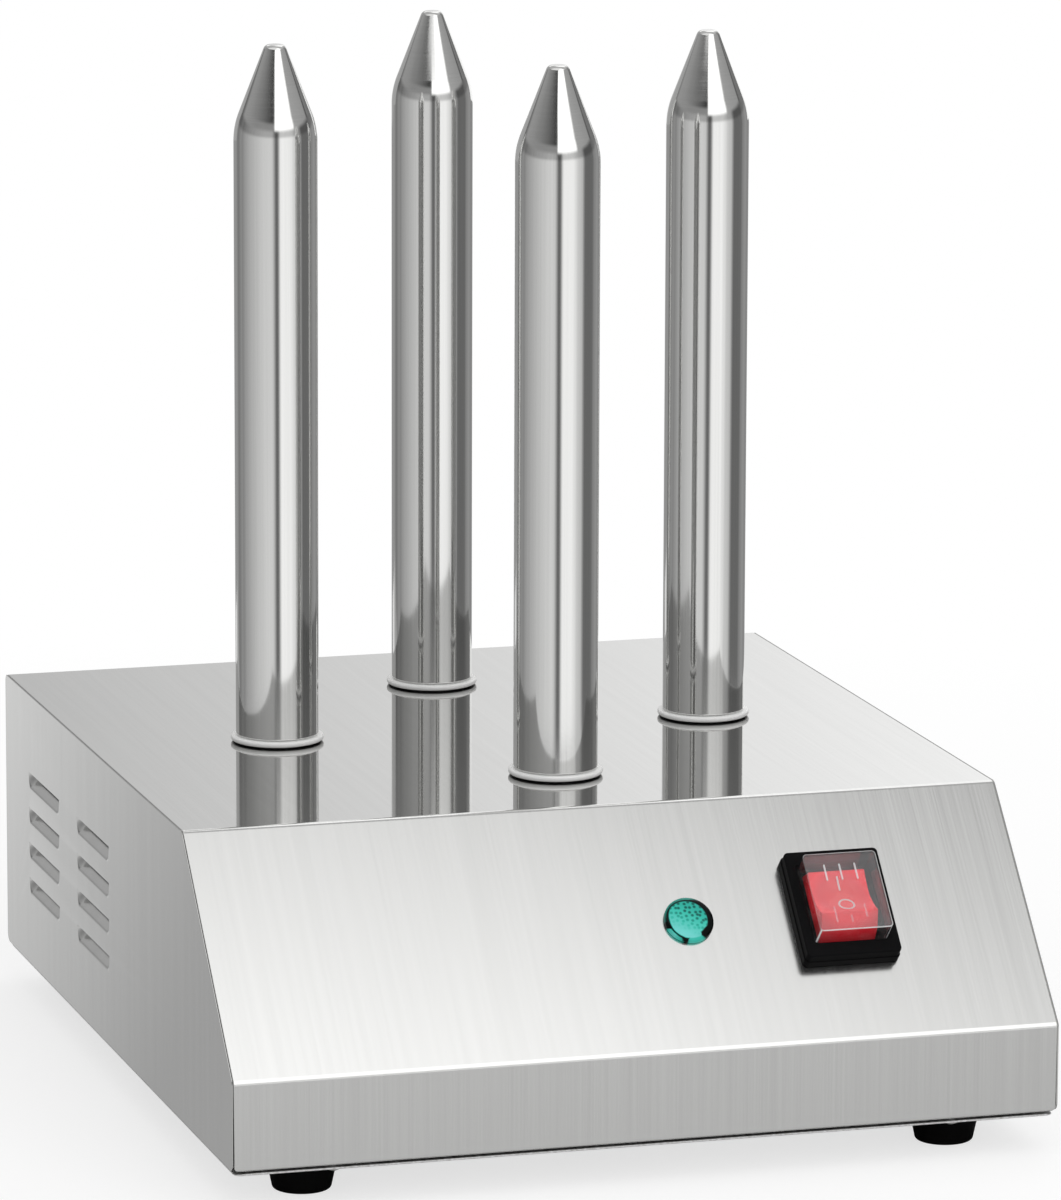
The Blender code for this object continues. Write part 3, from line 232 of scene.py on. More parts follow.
class StageSizes(bpy.types.PropertyGroup):
    """Where the camera stands, and the tones of floor and lights."""

    yaw: degrees("Yaw", "Camera turn", 16.511)
    pitch: degrees("Pitch", "Camera tilt", 11.261)
    roll: degrees("Roll", "Camera roll", 0.190)
    lens: FloatProperty(name="Lens", description="Focal length in millimetres", default=232.68, min=1)
    aside: metres("Aside", "Front corner left of centre", 0.0951)
    above: metres("Above", "Front corner below centre", 0.18288)
    away: metres("Away", "Front corner from the camera", 2.47331)
    floor_tone: fraction("Floor", "Grey of the floor", 0.62)
    shadow_tone: fraction("Shadow", "Depth of the floor's shadow", 0.38)
    floor_lift: fraction("Lift", "White added for the camera", 0.70)
    near_floor: metres("Near floor", "How far off the metal shows the floor", 0.50)
    shadow_reach: metres("Shadow reach", "Where the floor turns plain white", 0.45)
    floor_reach: metres("Floor reach", "Half the width of the floor", 6.0)
    ceiling_height: metres("Ceiling", "Height of the top light", 1.3)
    ceiling_size: metres("Ceiling size", "Width of the top light", 2.6)
    back_light: metres("Back", "Distance of the back light", 1.2)


GROUPS = {
    "machine_housing": HousingSizes,
    "machine_louvres": LouvreSizes,
    "machine_spikes": SpikeSizes,
    "machine_switch": SwitchSizes,
    "machine_rocker": RockerSizes,
    "machine_lamp": LampSizes,
    "machine_stage": StageSizes,
}


# Meshes from arrays of points

def grid_faces(rows, columns, close_rows=False, close_columns=False, first=0):
    """Quads between neighbouring points of a grid that is numbered row by row."""
    number = np.arange(rows * columns).reshape(rows, columns) + first
    if close_rows:
        number = np.vstack([number, number[:1]])
    if close_columns:
        number = np.hstack([number, number[:, :1]])
    quads = np.stack([number[:-1, :-1], number[:-1, 1:], number[1:, 1:], number[1:, :-1]], -1)
    return quads.reshape(-1, 4).tolist()


def loft_faces(rows, count, first=0, foot=True):
    """Quads round a stack of closed outlines, with a face on the last and, if asked, the first."""
    faces = grid_faces(rows, count, False, True, first)
    if foot:
        faces.append(list(range(first, first + count))[::-1])
    last = first + (rows - 1) * count
    return faces + [list(range(last, last + count))]


def shade(mesh):
    """Shades a mesh smooth but for its sharp edges."""
    mesh.shade_smooth()
    mesh.set_sharp_from_angle(angle=SMOOTH_ANGLE)


def mesh_from(name, points, faces, closed=True):
    """A shaded mesh with its doubles merged; a closed one gets its faces turned outward."""
    mesh = bpy.data.meshes.new(name)
    mesh.from_pydata(np.asarray(points).reshape(-1, 3).tolist(), [], faces)
    shape = bmesh.new()
    shape.from_mesh(mesh)
    bmesh.ops.remove_doubles(shape, verts=shape.verts, dist=WELD)
    if closed:
        bmesh.ops.recalc_face_normals(shape, faces=shape.faces)
    shape.to_mesh(mesh)
    shape.free()
    if not mesh.polygons:
        raise ValueError(name + " has no faces")
    shade(mesh)
    return mesh


def add_piece(mesh, finish, nodes=(), body="machine"):
    """Shows the mesh as a piece that rides on a body and stands for its nodes."""
    piece = bpy.data.objects.new(mesh.name, mesh)
    bpy.context.scene.collection.objects.link(piece)
    mesh.materials.append(finishes()[finish])
    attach(piece, body)
    if nodes:
        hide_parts(*nodes)
    return piece


def keep_flat(piece):
    """Shades a piece's big faces flat, so that only its roundings turn the light."""
    weigh = piece.modifiers.new("flat_faces", "WEIGHTED_NORMAL")
    weigh.keep_sharp = True


def tag(mesh, name, values):
    """Gives each point of a mesh a number that its finish can read."""
    layer = mesh.attributes.new(name, "FLOAT", "POINT")
    layer.data.foreach_set("value", np.asarray(values, np.float32))


def turned(profile, steps=TURN_STEPS, closed=False):
    """A profile swept round Z: x = radius cos(turn), y = radius sin(turn), z = height."""
    profile = np.asarray(profile, float)
    turn = np.linspace(0, math.tau, steps, endpoint=False)
    radius, height = profile[:, :1], profile[:, 1:]
    points = np.stack([radius * np.cos(turn), radius * np.sin(turn), height + 0 * turn], -1)
    return points, grid_faces(len(profile), steps, closed, True)


def turned_mesh(name, profile, foot, steps=TURN_STEPS):
    """A closed profile turned round the upright axis through a foot point."""
    points, faces = turned(profile, steps, True)
    return mesh_from(name, points + np.asarray(foot), faces)


def arc(centre, radius, start, stop, steps=ROUND_STEPS):
    """Points on a circle: centre + radius (cos, sin), from one angle to the other."""
    turn = np.radians(np.linspace(start, stop, steps + 1))
    return np.asarray(centre) + radius * np.column_stack([np.cos(turn), np.sin(turn)])


def disc(radius, steps=48):
    """Points of a full circle round the origin."""
    return arc((0, 0), radius, 0, 360 - 360 / steps, steps - 1)


def rounded_rectangle(width, length, radius, steps=ROUND_STEPS):
    """Four quarter circles, one round each corner of a rectangle."""
    radius = max(radius, WELD * 10)
    reach = np.array([width / 2 - radius, length / 2 - radius])
    quarters = []
    for quarter, corner in enumerate(((1, 1), (-1, 1), (-1, -1), (1, -1))):
        quarters.append(arc(reach * corner, radius, 90 * quarter, 90 * quarter + 90, steps))
    return np.vstack(quarters)


def inset_loop(width, length, inset, radius, height):
    """A rounded rectangle drawn in by an inset, with its height."""
    return rounded_rectangle(width - 2 * inset, length - 2 * inset, radius), height


def quarter_turn(radius, steps=5):
    """How far a rounding has drawn in and how far below its top it still is, from foot to top."""
    turn = np.radians(np.linspace(0, 90, steps + 1))
    return list(zip(radius * (1 - np.cos(turn)), radius * (1 - np.sin(turn))))


def stacked(loops):
    """Outlines of equal count, each at its own height."""
    return np.stack([np.column_stack([outline, np.full(len(outline), height)]) for outline, height in loops])


def rounded_path(corners, radii):
    """A path whose inner corners are arcs, with the direction that points out of it at each point.

    An arc's centre lies at corner - radius (a + b) / (1 + a.b), a and b being the outward normals
    of the two straight stretches, and its points at centre + radius times the turning normal.
    """
    corners = np.asarray(corners, float)
    heads = np.diff(corners, axis=0)
    heads /= np.linalg.norm(heads, axis=1, keepdims=True)
    normals = np.column_stack([-heads[:, 1], heads[:, 0]])
    points, outward = [corners[:1]], [normals[:1]]
    for corner, radius, a, b in zip(corners[1:-1], radii, normals, normals[1:]):
        centre = corner - radius * (a + b) / (1 + a @ b)
        start = math.atan2(a[1], a[0])
        turn = math.atan2(a[0] * b[1] - a[1] * b[0], a @ b)
        angle = start + turn * np.linspace(0, 1, ROUND_STEPS + 1)
        spoke = np.column_stack([np.cos(angle), np.sin(angle)])
        points.append(centre + radius * spoke)
        outward.append(spoke)
    points.append(corners[-1:])
    outward.append(normals[-1:])
    return np.vstack(points), np.vstack(outward)


def section_corners(sizes):
    """The housing from the side: front foot, fold, crease, rear top edge, rear foot, as (y, z)."""
    fold = BOTTOM + sizes.strip_height
    return [(FRONT, BOTTOM), (FRONT, fold), (FRONT + sizes.slope_run, TOP), (BACK, TOP), (BACK, BOTTOM)]


def slope_place(sizes):
    """Middle of the slope and its axes: to the right, up the slope and out of it."""
    fold = BOTTOM + sizes.strip_height
    angle = math.atan2(TOP - fold, sizes.slope_run)
    middle = np.array([0, FRONT + sizes.slope_run / 2, (fold + TOP) / 2])
    up = (0, math.cos(angle), math.sin(angle))
    out = (0, -math.sin(angle), math.cos(angle))
    return middle, np.array([(1, 0, 0), up, out])


def row_place(name):
    """The slope's axes, from the point of the slope that lies under the middle of a node."""
    middle, axes = slope_place(bpy.context.scene.machine_housing)
    low, high = node_span(name, middle, axes)
    centre = (low + high) / 2
    return middle + centre[0] * axes[0] + centre[1] * axes[1], axes


def placed(points, place):
    """Points measured on a place's axes, in the machine's frame."""
    origin, axes = place
    return origin + np.asarray(points) @ axes


# Finishes

# Sockets of a colour mix
COLOUR_A, COLOUR_B, COLOUR_RESULT = 6, 7, 2
# Height of steel's lines and of moulded grain; height of the band under the top plate in which the
# sheet turns from satin to near mirror; reach of the light in the rocker; cells of the lamp's dots
LINE_HEIGHT, GRAIN_HEIGHT = 0.00002, 0.00006
TOP_BAND = 0.0006
GLOW_REACH = 0.02
DOTS_PER_METRE = 610.0


def new_surface(name):
    """A new material with its tree and its shader."""
    surface = bpy.data.materials.new(name)
    surface.use_nodes = True
    return surface, surface.node_tree, surface.node_tree.nodes["Principled BSDF"]


def bare_surface(name):
    """A new material with its tree, and no shader in it yet."""
    surface, tree, shader = new_surface(name)
    tree.nodes.remove(shader)
    return surface, tree


def feed(made, inputs):
    """Sets a node's inputs; each is a plain value, or another node's output."""
    for socket, value in inputs.items():
        if isinstance(value, bpy.types.NodeSocket):
            made.id_data.links.new(value, made.inputs[socket])
        else:
            made.inputs[socket].default_value = value


def node(tree, kind, inputs=None, **settings):
    """Adds a shader node of a kind with its settings and inputs."""
    made = tree.nodes.new("ShaderNode" + kind)
    for key, value in settings.items():
        setattr(made, key, value)
    feed(made, inputs or {})
    return made


def reckon(tree, operation, *values):
    """The result of one operation on values or outputs."""
    return node(tree, "Math", dict(enumerate(values)), operation=operation).outputs[0]


def ranged(tree, value, start, stop, low=0.0, high=1.0):
    """A value's range from start to stop mapped from low to high, and kept between them."""
    inputs = {"Value": value, "From Min": start, "From Max": stop, "To Min": low, "To Max": high}
    return node(tree, "MapRange", inputs).outputs[0]


def mixed(tree, share, first, second):
    """A number that goes from the first to the second."""
    return node(tree, "Mix", {"Factor": share, "A": first, "B": second}).outputs[0]


def blend(tree, share, first, second, kind="MIX"):
    """A colour that goes from the first to the second, or the product of both."""
    inputs = {"Factor": share, COLOUR_A: first, COLOUR_B: second}
    return node(tree, "Mix", inputs, data_type="RGBA", blend_type=kind).outputs[COLOUR_RESULT]


def ramp(tree, share, stops):
    """A ramp of colours: rows of (place from 0 to 1, colour)."""
    made = node(tree, "ValToRGB", {"Fac": share})
    line = made.color_ramp.elements
    line.remove(line[1])
    line[0].position, line[0].color = stops[0][0], (*stops[0][1], 1)
    for place, colour in stops[1:]:
        line.new(place).color = (*colour, 1)
    return made.outputs[0]


def either(tree, share, first, second):
    """A shader that goes from the first to the second."""
    return node(tree, "MixShader", {0: share, 1: first.outputs[0], 2: second.outputs[0]})


def finished(surface, shader):
    """The surface with its last shader joined to its output."""
    feed(surface.node_tree.nodes["Material Output"], {"Surface": shader.outputs[0]})
    return surface


def attribute(tree, name, part="Fac"):
    """What the mesh's points carry under a name."""
    return node(tree, "Attribute", attribute_name=name).outputs[part]


def object_place(tree):
    """The place on the object itself."""
    return node(tree, "TexCoord").outputs["Object"]


def pattern(tree, scale, detail=3.0, stretch=(1, 1, 1)):
    """Noise on the object's own coordinates, drawn out along the axes with a small stretch."""
    drawn = node(tree, "Mapping", {"Vector": object_place(tree), "Scale": stretch}).outputs[0]
    return node(tree, "TexNoise", {"Vector": drawn, "Scale": scale, "Detail": detail}).outputs["Fac"]


def spread(tree, value, low=0.0, high=1.0):
    """The noise's middle range mapped from low to high."""
    return ranged(tree, value, 0.3, 0.7, low, high)


def tinted(tree, value, colour, dark, light):
    """The colour made darker and lighter by a pattern."""
    ends = [(*[min(1.0, part * tone) for part in colour], 1) for tone in (dark, light)]
    return blend(tree, value, *ends)


def bumped(tree, value, strength, height):
    """A normal that leans with a pattern of the given height."""
    return node(tree, "Bump", {"Height": value, "Strength": strength, "Distance": height}).outputs[0]


def steel(name, colour, roughness, grain, line_tone, line_bump, rings=0.0):
    """Brushed or polished metal: fine lines along the grain and slow cloudiness.

    Where the point's cone value is 1 the lines run round the piece instead.
    """
    surface, tree, shader = new_surface(name)
    lines = pattern(tree, 1.0, 4.0, grain)
    if rings:
        across = pattern(tree, 1.0, 3.0, (60, 60, rings))
        lines = mixed(tree, attribute(tree, "cone"), lines, across)
    cloud = pattern(tree, 1.0, 2.0, [max(6, 0.16 * scale) for scale in grain])
    toned = tinted(tree, spread(tree, lines), colour, 1 - line_tone, 1 + line_tone)
    clouded = tinted(tree, spread(tree, cloud), (1, 1, 1), 0.965, 1.0)
    feed(shader, {
        "Base Color": blend(tree, 1.0, toned, clouded, "MULTIPLY"),
        "Metallic": 1.0,
        "Roughness": spread(tree, lines, roughness * 0.85, roughness * 1.2),
        "Normal": bumped(tree, lines, line_bump, LINE_HEIGHT),
    })
    return surface


def moulded(name, colour, roughness, grain=900.0, strength=0.15, tone=0.08, shine=1.5, glow=0.0):
    """Moulded plastic, rubber or ceramic: a fine grain, uneven gloss and a little uneven colour."""
    surface, tree, shader = new_surface(name)
    cloud = pattern(tree, 60.0)
    feed(shader, {
        "Base Color": tinted(tree, spread(tree, cloud), colour, 1 - tone, 1 + tone),
        "Roughness": spread(tree, cloud, roughness * 0.88, roughness * 1.12),
        "IOR": shine,
        "Emission Color": (*colour, 1),
        "Emission Strength": glow,
        "Normal": bumped(tree, pattern(tree, grain), strength, GRAIN_HEIGHT),
    })
    return surface


def sheet_steel(colour):
    """Sheet with its lines running from front to back: satin at the front, near mirror on top."""
    satin_bump, mirror_bump, mirror_roughness = 0.06, 0.003, 0.045
    surface = steel("satin_steel", colour, 0.20, (2200, 12, 12), 0.022, satin_bump)
    tree = surface.node_tree
    shader = tree.nodes["Principled BSDF"]
    satin = shader.inputs["Roughness"].links[0].from_socket
    bump = shader.inputs["Normal"].links[0].from_node
    height = node(tree, "SeparateXYZ", {0: object_place(tree)}).outputs["Z"]
    top = ranged(tree, height, TOP - TOP_BAND, TOP)
    feed(shader, {"Roughness": mixed(tree, top, satin, mirror_roughness)})
    feed(bump, {"Strength": ranged(tree, top, 0, 1, satin_bump, mirror_bump)})
    return surface


def pale_seal(colour):
    """Pale rubber with painted shade: black in the gap under the ring, lighter towards its top; a faint
    painted glow.
    """
    # The rubber's emission is a painted glow.
    surface = moulded("pale_seal", colour, 0.35, 700.0, 0.08, 0.03, 1.4, 0.10)
    tree = surface.node_tree
    # Painted shade: black in the gap under the ring, and lighter towards the top by the rise.
    tones = ramp(tree, attribute(tree, "rise"), ((0, [0.002] * 3), (0.12, [0.60] * 3), (1, [1] * 3)))
    colour_with_painted_shade = blend(tree, 1.0, (*colour, 1), tones, "MULTIPLY")
    feed(tree.nodes["Principled BSDF"], {"Base Color": colour_with_painted_shade, "Emission Color": colour_with_painted_shade})
    return surface


def lit_red(colour):
    """Red plastic with a light behind it: palest at the middle of its face, deep red at its ends."""
    surface = moulded("rocker_red", colour, 0.28, 900.0, 0.04, 0.04, 1.4, 1.0)
    tree = surface.node_tree
    rocker = bpy.context.scene.machine_rocker
    origin, axes = rocker_place(rocker)
    heart = tuple(origin + axes[2] * rocker.face_rise)
    reach = node(tree, "VectorMath", {0: object_place(tree), 1: heart}, operation="DISTANCE")
    share = reckon(tree, "DIVIDE", reach.outputs["Value"], GLOW_REACH)
    light = ramp(tree, share, (
        (0.00, (0.25, 0.060, 0.050)),
        (0.40, (0.22, 0.015, 0.020)),
        (0.55, (0.36, 0.003, 0.010)),
        (0.70, (0.14, 0.000, 0.002)),
        (1.00, (0.05, 0.000, 0.001)),
    ))
    feed(tree.nodes["Principled BSDF"], {"Emission Color": light})
    return surface


def clear_cover():
    """Clear plastic: glossy by its angle to the view, with its edges and ribs a milky white of painted
    highlight and painted glow; a faint haze and the scuffs are its own.
    """
    surface, tree = bare_surface("clear_cover")
    gloss = node(tree, "BsdfGlossy", {"Color": (0.96, 0.96, 0.97, 1), "Roughness": 0.08})
    clear = node(tree, "BsdfTransparent", {"Color": (0.96, 0.96, 0.965, 1)})
    facing = node(tree, "LayerWeight").outputs["Facing"]
    shine = reckon(tree, "MULTIPLY_ADD", reckon(tree, "POWER", facing, 4.0), 0.5, 0.03)
    scuffs = spread(tree, pattern(tree, 260.0, 4.0), 0.0, 0.03)
    # Milky white with a painted glow: painted highlight on the edges and ribs, a faint haze on the top; the
    # scuffs are wear.
    milk_and_sheen = node(tree, "BsdfPrincipled", {
        "Base Color": (0.92, 0.92, 0.93, 1),
        "Roughness": 0.25,
        "Emission Color": (1, 1, 1, 1),
        "Emission Strength": 0.15,
    })
    share = reckon(tree, "MAXIMUM", attribute(tree, "edge"), scuffs)
    return finished(surface, either(tree, share, either(tree, shine, clear, gloss), milk_and_sheen))


# Round the lamp's window, by angle from its right: where its dark ring starts and ends as shares of
# the radius, and the brightness beyond it, which is a painted highlight on the rim.
RIM = (
    (0, 0.75, 1.10, 0.0), (40, 0.80, 1.10, 0.0), (60, 0.83, 1.00, 0.26), (80, 0.845, 0.91, 0.34),
    (135, 0.875, 0.93, 0.36), (165, 0.82, 0.93, 0.28), (180, 0.79, 0.95, 0.20), (190, 0.79, 1.10, 0.0),
    (197, 0.79, 1.10, 0.4), (203, 0.80, 0.88, 0.62), (222, 0.815, 0.89, 0.80), (240, 0.82, 0.92, 0.50),
    (248, 0.84, 1.10, 0.30), (254, 0.84, 1.10, 0.30), (260, 0.82, 0.76, 0.60), (296, 0.82, 0.76, 0.54),
    (303, 0.68, 1.10, 0.0), (322, 0.68, 1.10, 0.0), (336, 0.74, 1.10, 0.0), (360, 0.75, 1.10, 0.0),
)


def window_tones(across, up, radius):
    """Brightness and dot strength of the lamp's window at points of its face.

    Brightness grows to the lower left inside the dark ring; beyond the ring it's the rim's painted
    highlights.
    Dots are strong in the upper right two thirds. Across and up are taken where the reflector
    behind the face shows, so they lean with the face's height.
    """
    soft = 0.045
    reach = np.hypot(across, up) / radius
    turn = np.degrees(np.arctan2(up, across)) % 360
    angles, starts, stops, tones = np.array(RIM).T
    inner = np.clip((np.interp(turn, angles, starts) - reach) / soft + 0.5, 0, 1)
    outer = np.clip((reach - np.interp(turn, angles, stops)) / soft + 0.5, 0, 1)
    lean = np.clip(0.5 - (0.6 * across + up) / radius * 0.62, 0, 1)
    # Beyond the ring the rim's tones are painted highlights.
    tone = inner * (0.48 + 0.42 * lean**1.5) + outer * (1 - inner) * np.interp(turn, angles, tones)
    return tone, inner * np.clip(1.45 - 1.6 * lean, 0, 1)


def lamp_window(colour):
    """Green plastic over a pale reflector: a bright dotted disc in a dark ring, with bright arcs that are
    painted highlights on the rim.
    """
    surface, tree, shader = new_surface("lamp_window")
    spot = attribute(tree, "spot", "Vector")
    inputs = {"Vector": spot, "Scale": DOTS_PER_METRE, "Randomness": 0.6}
    cells = node(tree, "TexVoronoi", inputs, voronoi_dimensions="2D")
    dots = ranged(tree, cells.outputs["Distance"], 0.20, 0.42, 0.45, 1.0)
    shown = mixed(tree, attribute(tree, "dots"), 1.0, dots)
    green = ramp(tree, reckon(tree, "MULTIPLY", attribute(tree, "glow"), shown), (
        (0.00, (0.0006, 0.0020, 0.0018)),
        (0.26, [part * 0.28 for part in colour]),
        (0.56, colour),
        (1.00, (0.20, 0.70, 0.68)),
    ))
    feed(shader, {
        "Base Color": green,
        "Emission Color": green,
        "Emission Strength": 0.25,
        "Roughness": 0.06,
        "IOR": 1.25,
    })
    return surface


FINISHES = {}


def finishes():
    """Every finish of the machine, made once, by name.

    Steel takes its tint, roughness, lines per metre along x, y and z, and the lines' tone and
    bump; moulded stuff its colour, roughness, grain per metre, grain strength, uneven tone,
    shine and glow.
    """
    scene = bpy.context.scene
    if not FINISHES:
        housing = scene.machine_housing.steel_colour
        tube = scene.machine_spikes.polish_colour
        black = (0.009, 0.009, 0.0095)
        FINISHES.update({
            "satin_steel": sheet_steel(housing),
            "panel_steel": steel("panel_steel", housing, 0.17, (40, 1400, 10), 0.010, 0.02),
            "polished_tube": steel("polished_tube", tube, 0.085, (1500, 1500, 6), 0.03, 0.025, 2600),
            "zinc": steel("zinc_plate", (0.62, 0.62, 0.60), 0.38, (300, 300, 300), 0.08, 0.10),
            "brass": steel("brass", (0.72, 0.53, 0.26), 0.32, (400, 400, 60), 0.06, 0.10),
            "rod_sheath": steel("rod_sheath", (0.50, 0.47, 0.43), 0.35, (900, 900, 20), 0.08, 0.12),
            "plate": steel("plated_sheet", (0.84, 0.84, 0.83), 0.42, (700, 700, 700), 0.22, 0.30),
            "rubber": moulded("black_rubber", (0.005, 0.005, 0.005), 0.55, 1400.0, 0.25, 0.10, 1.1),
            "black_plastic": moulded("black_plastic", black, 0.34, 1600.0, 0.10, 0.10, 1.05),
            "grey_plastic": moulded("grey_polyamide", (0.05, 0.05, 0.053), 0.45, 1300.0, 0.20, 0.08),
            "seal": pale_seal((0.92, 0.92, 0.91)),
            "red_plastic": lit_red(scene.machine_switch.red),
            "mark_white": moulded("mark_white", (0.84, 0.68, 0.68), 0.40, 900.0, 0.04, 0.02, 1.4, 0.08),
            "ceramic": moulded("ceramic", (0.80, 0.77, 0.70), 0.55, 1100.0, 0.25, 0.04),
            "wire": moulded("wire_cover", (0.42, 0.08, 0.05), 0.55, 2200.0, 0.35, 0.15),
            "clear": clear_cover(),
            "lamp": lamp_window(scene.machine_lamp.green),
        })
    return FINISHES


# Housing

def cut_holes(piece, cutters):
    """Cuts closed shapes out of a piece and leaves a plain mesh."""
    for number, (points, faces) in enumerate(cutters):
        tool = bpy.data.objects.new(f"hole_{number}", mesh_from(f"hole_{number}", points, faces))
        bpy.context.scene.collection.objects.link(tool)
        hole = piece.modifiers.new(tool.name, "BOOLEAN")
        hole.operation = "DIFFERENCE"
        hole.object = tool
    mesh = bpy.data.meshes.new_from_object(piece.evaluated_get(bpy.context.evaluated_depsgraph_get()))
    for hole in list(piece.modifiers):
        tool = hole.object
        piece.modifiers.remove(hole)
        bpy.data.objects.remove(tool)
    piece.data = mesh
    shade(mesh)


def peg(outline, reach, place):
    """A closed prism over an outline, reaching both ways along a place's last axis."""
    ring = stacked([(outline, -reach), (outline, reach)])
    return placed(ring.reshape(-1, 3), place), loft_faces(2, len(outline))


def folded_sheet(sizes):
    """Outer path and its inward twin, carried across the machine, with soft mitred ends.

    A point is (share of half the width, path point - depth times its outward normal); the half
    width shrinks round the strip's lower corners by r - sqrt(r^2 - (r - height)^2).
    """
    corners = [(FRONT + sizes.lip_width, BOTTOM), *section_corners(sizes), (BACK - sizes.lip_width, BOTTOM)]
    path, outward = rounded_path(corners, [sizes.lip_radius, *[sizes.fold_radius] * 3, sizes.lip_radius])
    radius = sizes.corner_radius
    height = np.clip(path[:, 1] - BOTTOM, 0, radius)
    drawn_in = radius - np.sqrt(np.maximum(radius**2 - (radius - height) ** 2, 0))
    soft = sizes.edge_radius
    half = PANEL_FACE - soft - sizes.seam - drawn_in
    stations = [(-below, drawn) for drawn, below in quarter_turn(soft, 4)]
    stations.append((-sizes.sheet + soft, sizes.sheet))
    rows = [np.column_stack([half + step, path - depth * outward]) for step, depth in stations]
    rows += [row * (-1, 1, 1) for row in rows[::-1]]
    count = len(path)
    faces = grid_faces(len(rows), count, True, False)
    starts = [row * count for row in range(len(rows))]
    faces += [starts, [start + count - 1 for start in starts][::-1]]
    return np.stack(rows), faces


def housing_holes(sizes, spikes):
    """Shapes of the holes for necks, lamp, switch, gland and base screws."""
    scene = bpy.context.scene
    gap = scene.machine_switch.fit_gap
    cuts = []
    for spot in SPOTS:
        x, y = middle_of("spike_" + spot)[:2]
        cuts.append((disc(spikes.neck_radius + gap), ((x, y, TOP), UPRIGHT)))
    lamp, gland = row_place("lamp_body"), gland_place()
    cuts.append((disc(node_span("lamp_body", *lamp)[1][0] + gap), lamp))
    width = scene.machine_rocker.width + 4 * scene.machine_switch.cover_wall
    opening = rounded_rectangle(width, scene.machine_switch.cover_length - gap, sizes.edge_radius)
    cuts.append((opening, row_place("switch_body")))
    cuts.append((disc(node_span("cable_gland_seal", *gland)[1][0] + 2 * sizes.sheet), gland))
    for end in ENDS:
        x, y = middle_of("base_screw_" + end)[:2]
        cuts.append((disc(sizes.screw_hole, SCREW_STEPS), ((x, y, BOTTOM), UPRIGHT)))
    return [peg(outline, 2 * sizes.sheet, place) for outline, place in cuts]


class MACHINE_OT_folded_sheet(bpy.types.Operator):
    """Folds front strip, slope, top plate and back from one sheet and cuts its holes"""

    bl_idname = "machine.folded_sheet"
    bl_label = "Folded Sheet"

    def execute(self, context):
        sizes = context.scene.machine_housing
        mesh = mesh_from("folded_sheet", *folded_sheet(sizes))
        piece = add_piece(mesh, "satin_steel", ["housing_wrap"])
        cut_holes(piece, housing_holes(sizes, context.scene.machine_spikes))
        keep_flat(piece)
        return {"FINISHED"}


def louvre_starts(louvres):
    """Middle and slit height of every louvre, as (y, z)."""
    rear = BACK - louvres.back_inset
    return [
        (rear - column * louvres.column_pitch, TOP - louvres.top_drop - row * louvres.pitch)
        for column in range(louvres.columns)
        for row in range(louvres.rows)
    ]


def louvre_scoop(louvres, along=48, down=14):
    """One pressed louvre as offsets (along, drop, depth) from the middle of its slit.

    Its lower outline is straight with rounded ends, drop = height sqrt(1 - c^2), c growing from 0
    to 1 over the corner; its depth falls from slit to outline as cos^2, and rises from each end
    as a sine.
    """
    share = np.sin(np.linspace(-math.pi / 2, math.pi / 2, along + 1))[:, None]
    fall = np.linspace(0, 1, down + 1)[None, :]
    from_end = (1 - np.abs(share)) * louvres.length / 2
    corner = 1 - np.clip(from_end / louvres.corner, 0, 1)
    outline = louvres.height * np.sqrt(1 - corner**2)
    end = np.clip(from_end / louvres.taper, 0, 1)
    depth = louvres.depth * np.cos(fall * math.pi / 2) ** 2 * np.sin(end * math.pi / 2)
    y = share * louvres.length / 2 + 0 * fall
    return np.stack([y, outline * fall, depth], -1)


def panel_skin(side, sizes, louvres):
    """Outer face of a side panel: a flat cheek with louvres, a soft edge and a flange turned in."""
    corners = section_corners(sizes)
    start = ((FRONT + BACK) / 2, BOTTOM)
    foot = 1.5 * sizes.corner_radius
    path, outward = rounded_path([start, *corners, start], [foot, *[sizes.fold_radius] * 3, foot])
    path, outward = path[1:-1], outward[1:-1]
    soft, gap = sizes.edge_radius, sizes.flange_gap
    steps = [(0, soft), (0.3 * soft, 0.3 * soft), (soft, 0), (soft + gap, gap), (sizes.flange_depth, gap)]
    band = []
    for step, inset in steps:
        band.append(np.column_stack([np.full(len(path), PANEL_FACE - step), path - inset * outward]))
    faces = grid_faces(len(band), len(path), False, True)
    points, loops = [np.vstack(band)], [band[0]]
    count = len(points[0])
    scoop = louvre_scoop(louvres)
    for y, z in louvre_starts(louvres):
        spot = (PANEL_FACE, y, z) + scoop[..., [2, 0, 1]] * (-1, 1, -1)
        faces += grid_faces(*scoop.shape[:2], first=count)
        points.append(spot.reshape(-1, 3))
        loops.append(spot[:, -1])
        count += len(points[-1])
    flat = tessellate_polygon([loop[:, 1:].tolist() for loop in loops])
    faces += [[count + corner for corner in face] for face in flat]
    points = np.vstack(points + loops)
    points[:, 0] *= side
    return points, faces


def face_out(mesh, side):
    """Turns an open skin over if its big flat faces look into the machine."""
    lean = sum(face.normal.x * face.area for face in mesh.polygons)
    if lean * side < 0:
        mesh.flip_normals()


class MACHINE_OT_side_panels(bpy.types.Operator):
    """Presses the two side panels with their louvres"""

    bl_idname = "machine.side_panels"
    bl_label = "Side Panels"

    def execute(self, context):
        sizes = context.scene.machine_housing
        for side, name in ((-1, "left"), (1, "right")):
            skin = panel_skin(side, sizes, context.scene.machine_louvres)
            mesh = mesh_from("louvred_panel_" + name, *skin)
            face_out(mesh, side)
            piece = add_piece(mesh, "panel_steel", ["side_panel_" + name])
            wall = piece.modifiers.new("sheet", "SOLIDIFY")
            wall.thickness = sizes.panel_sheet
            wall.offset = -1
            keep_flat(piece)
        return {"FINISHED"}


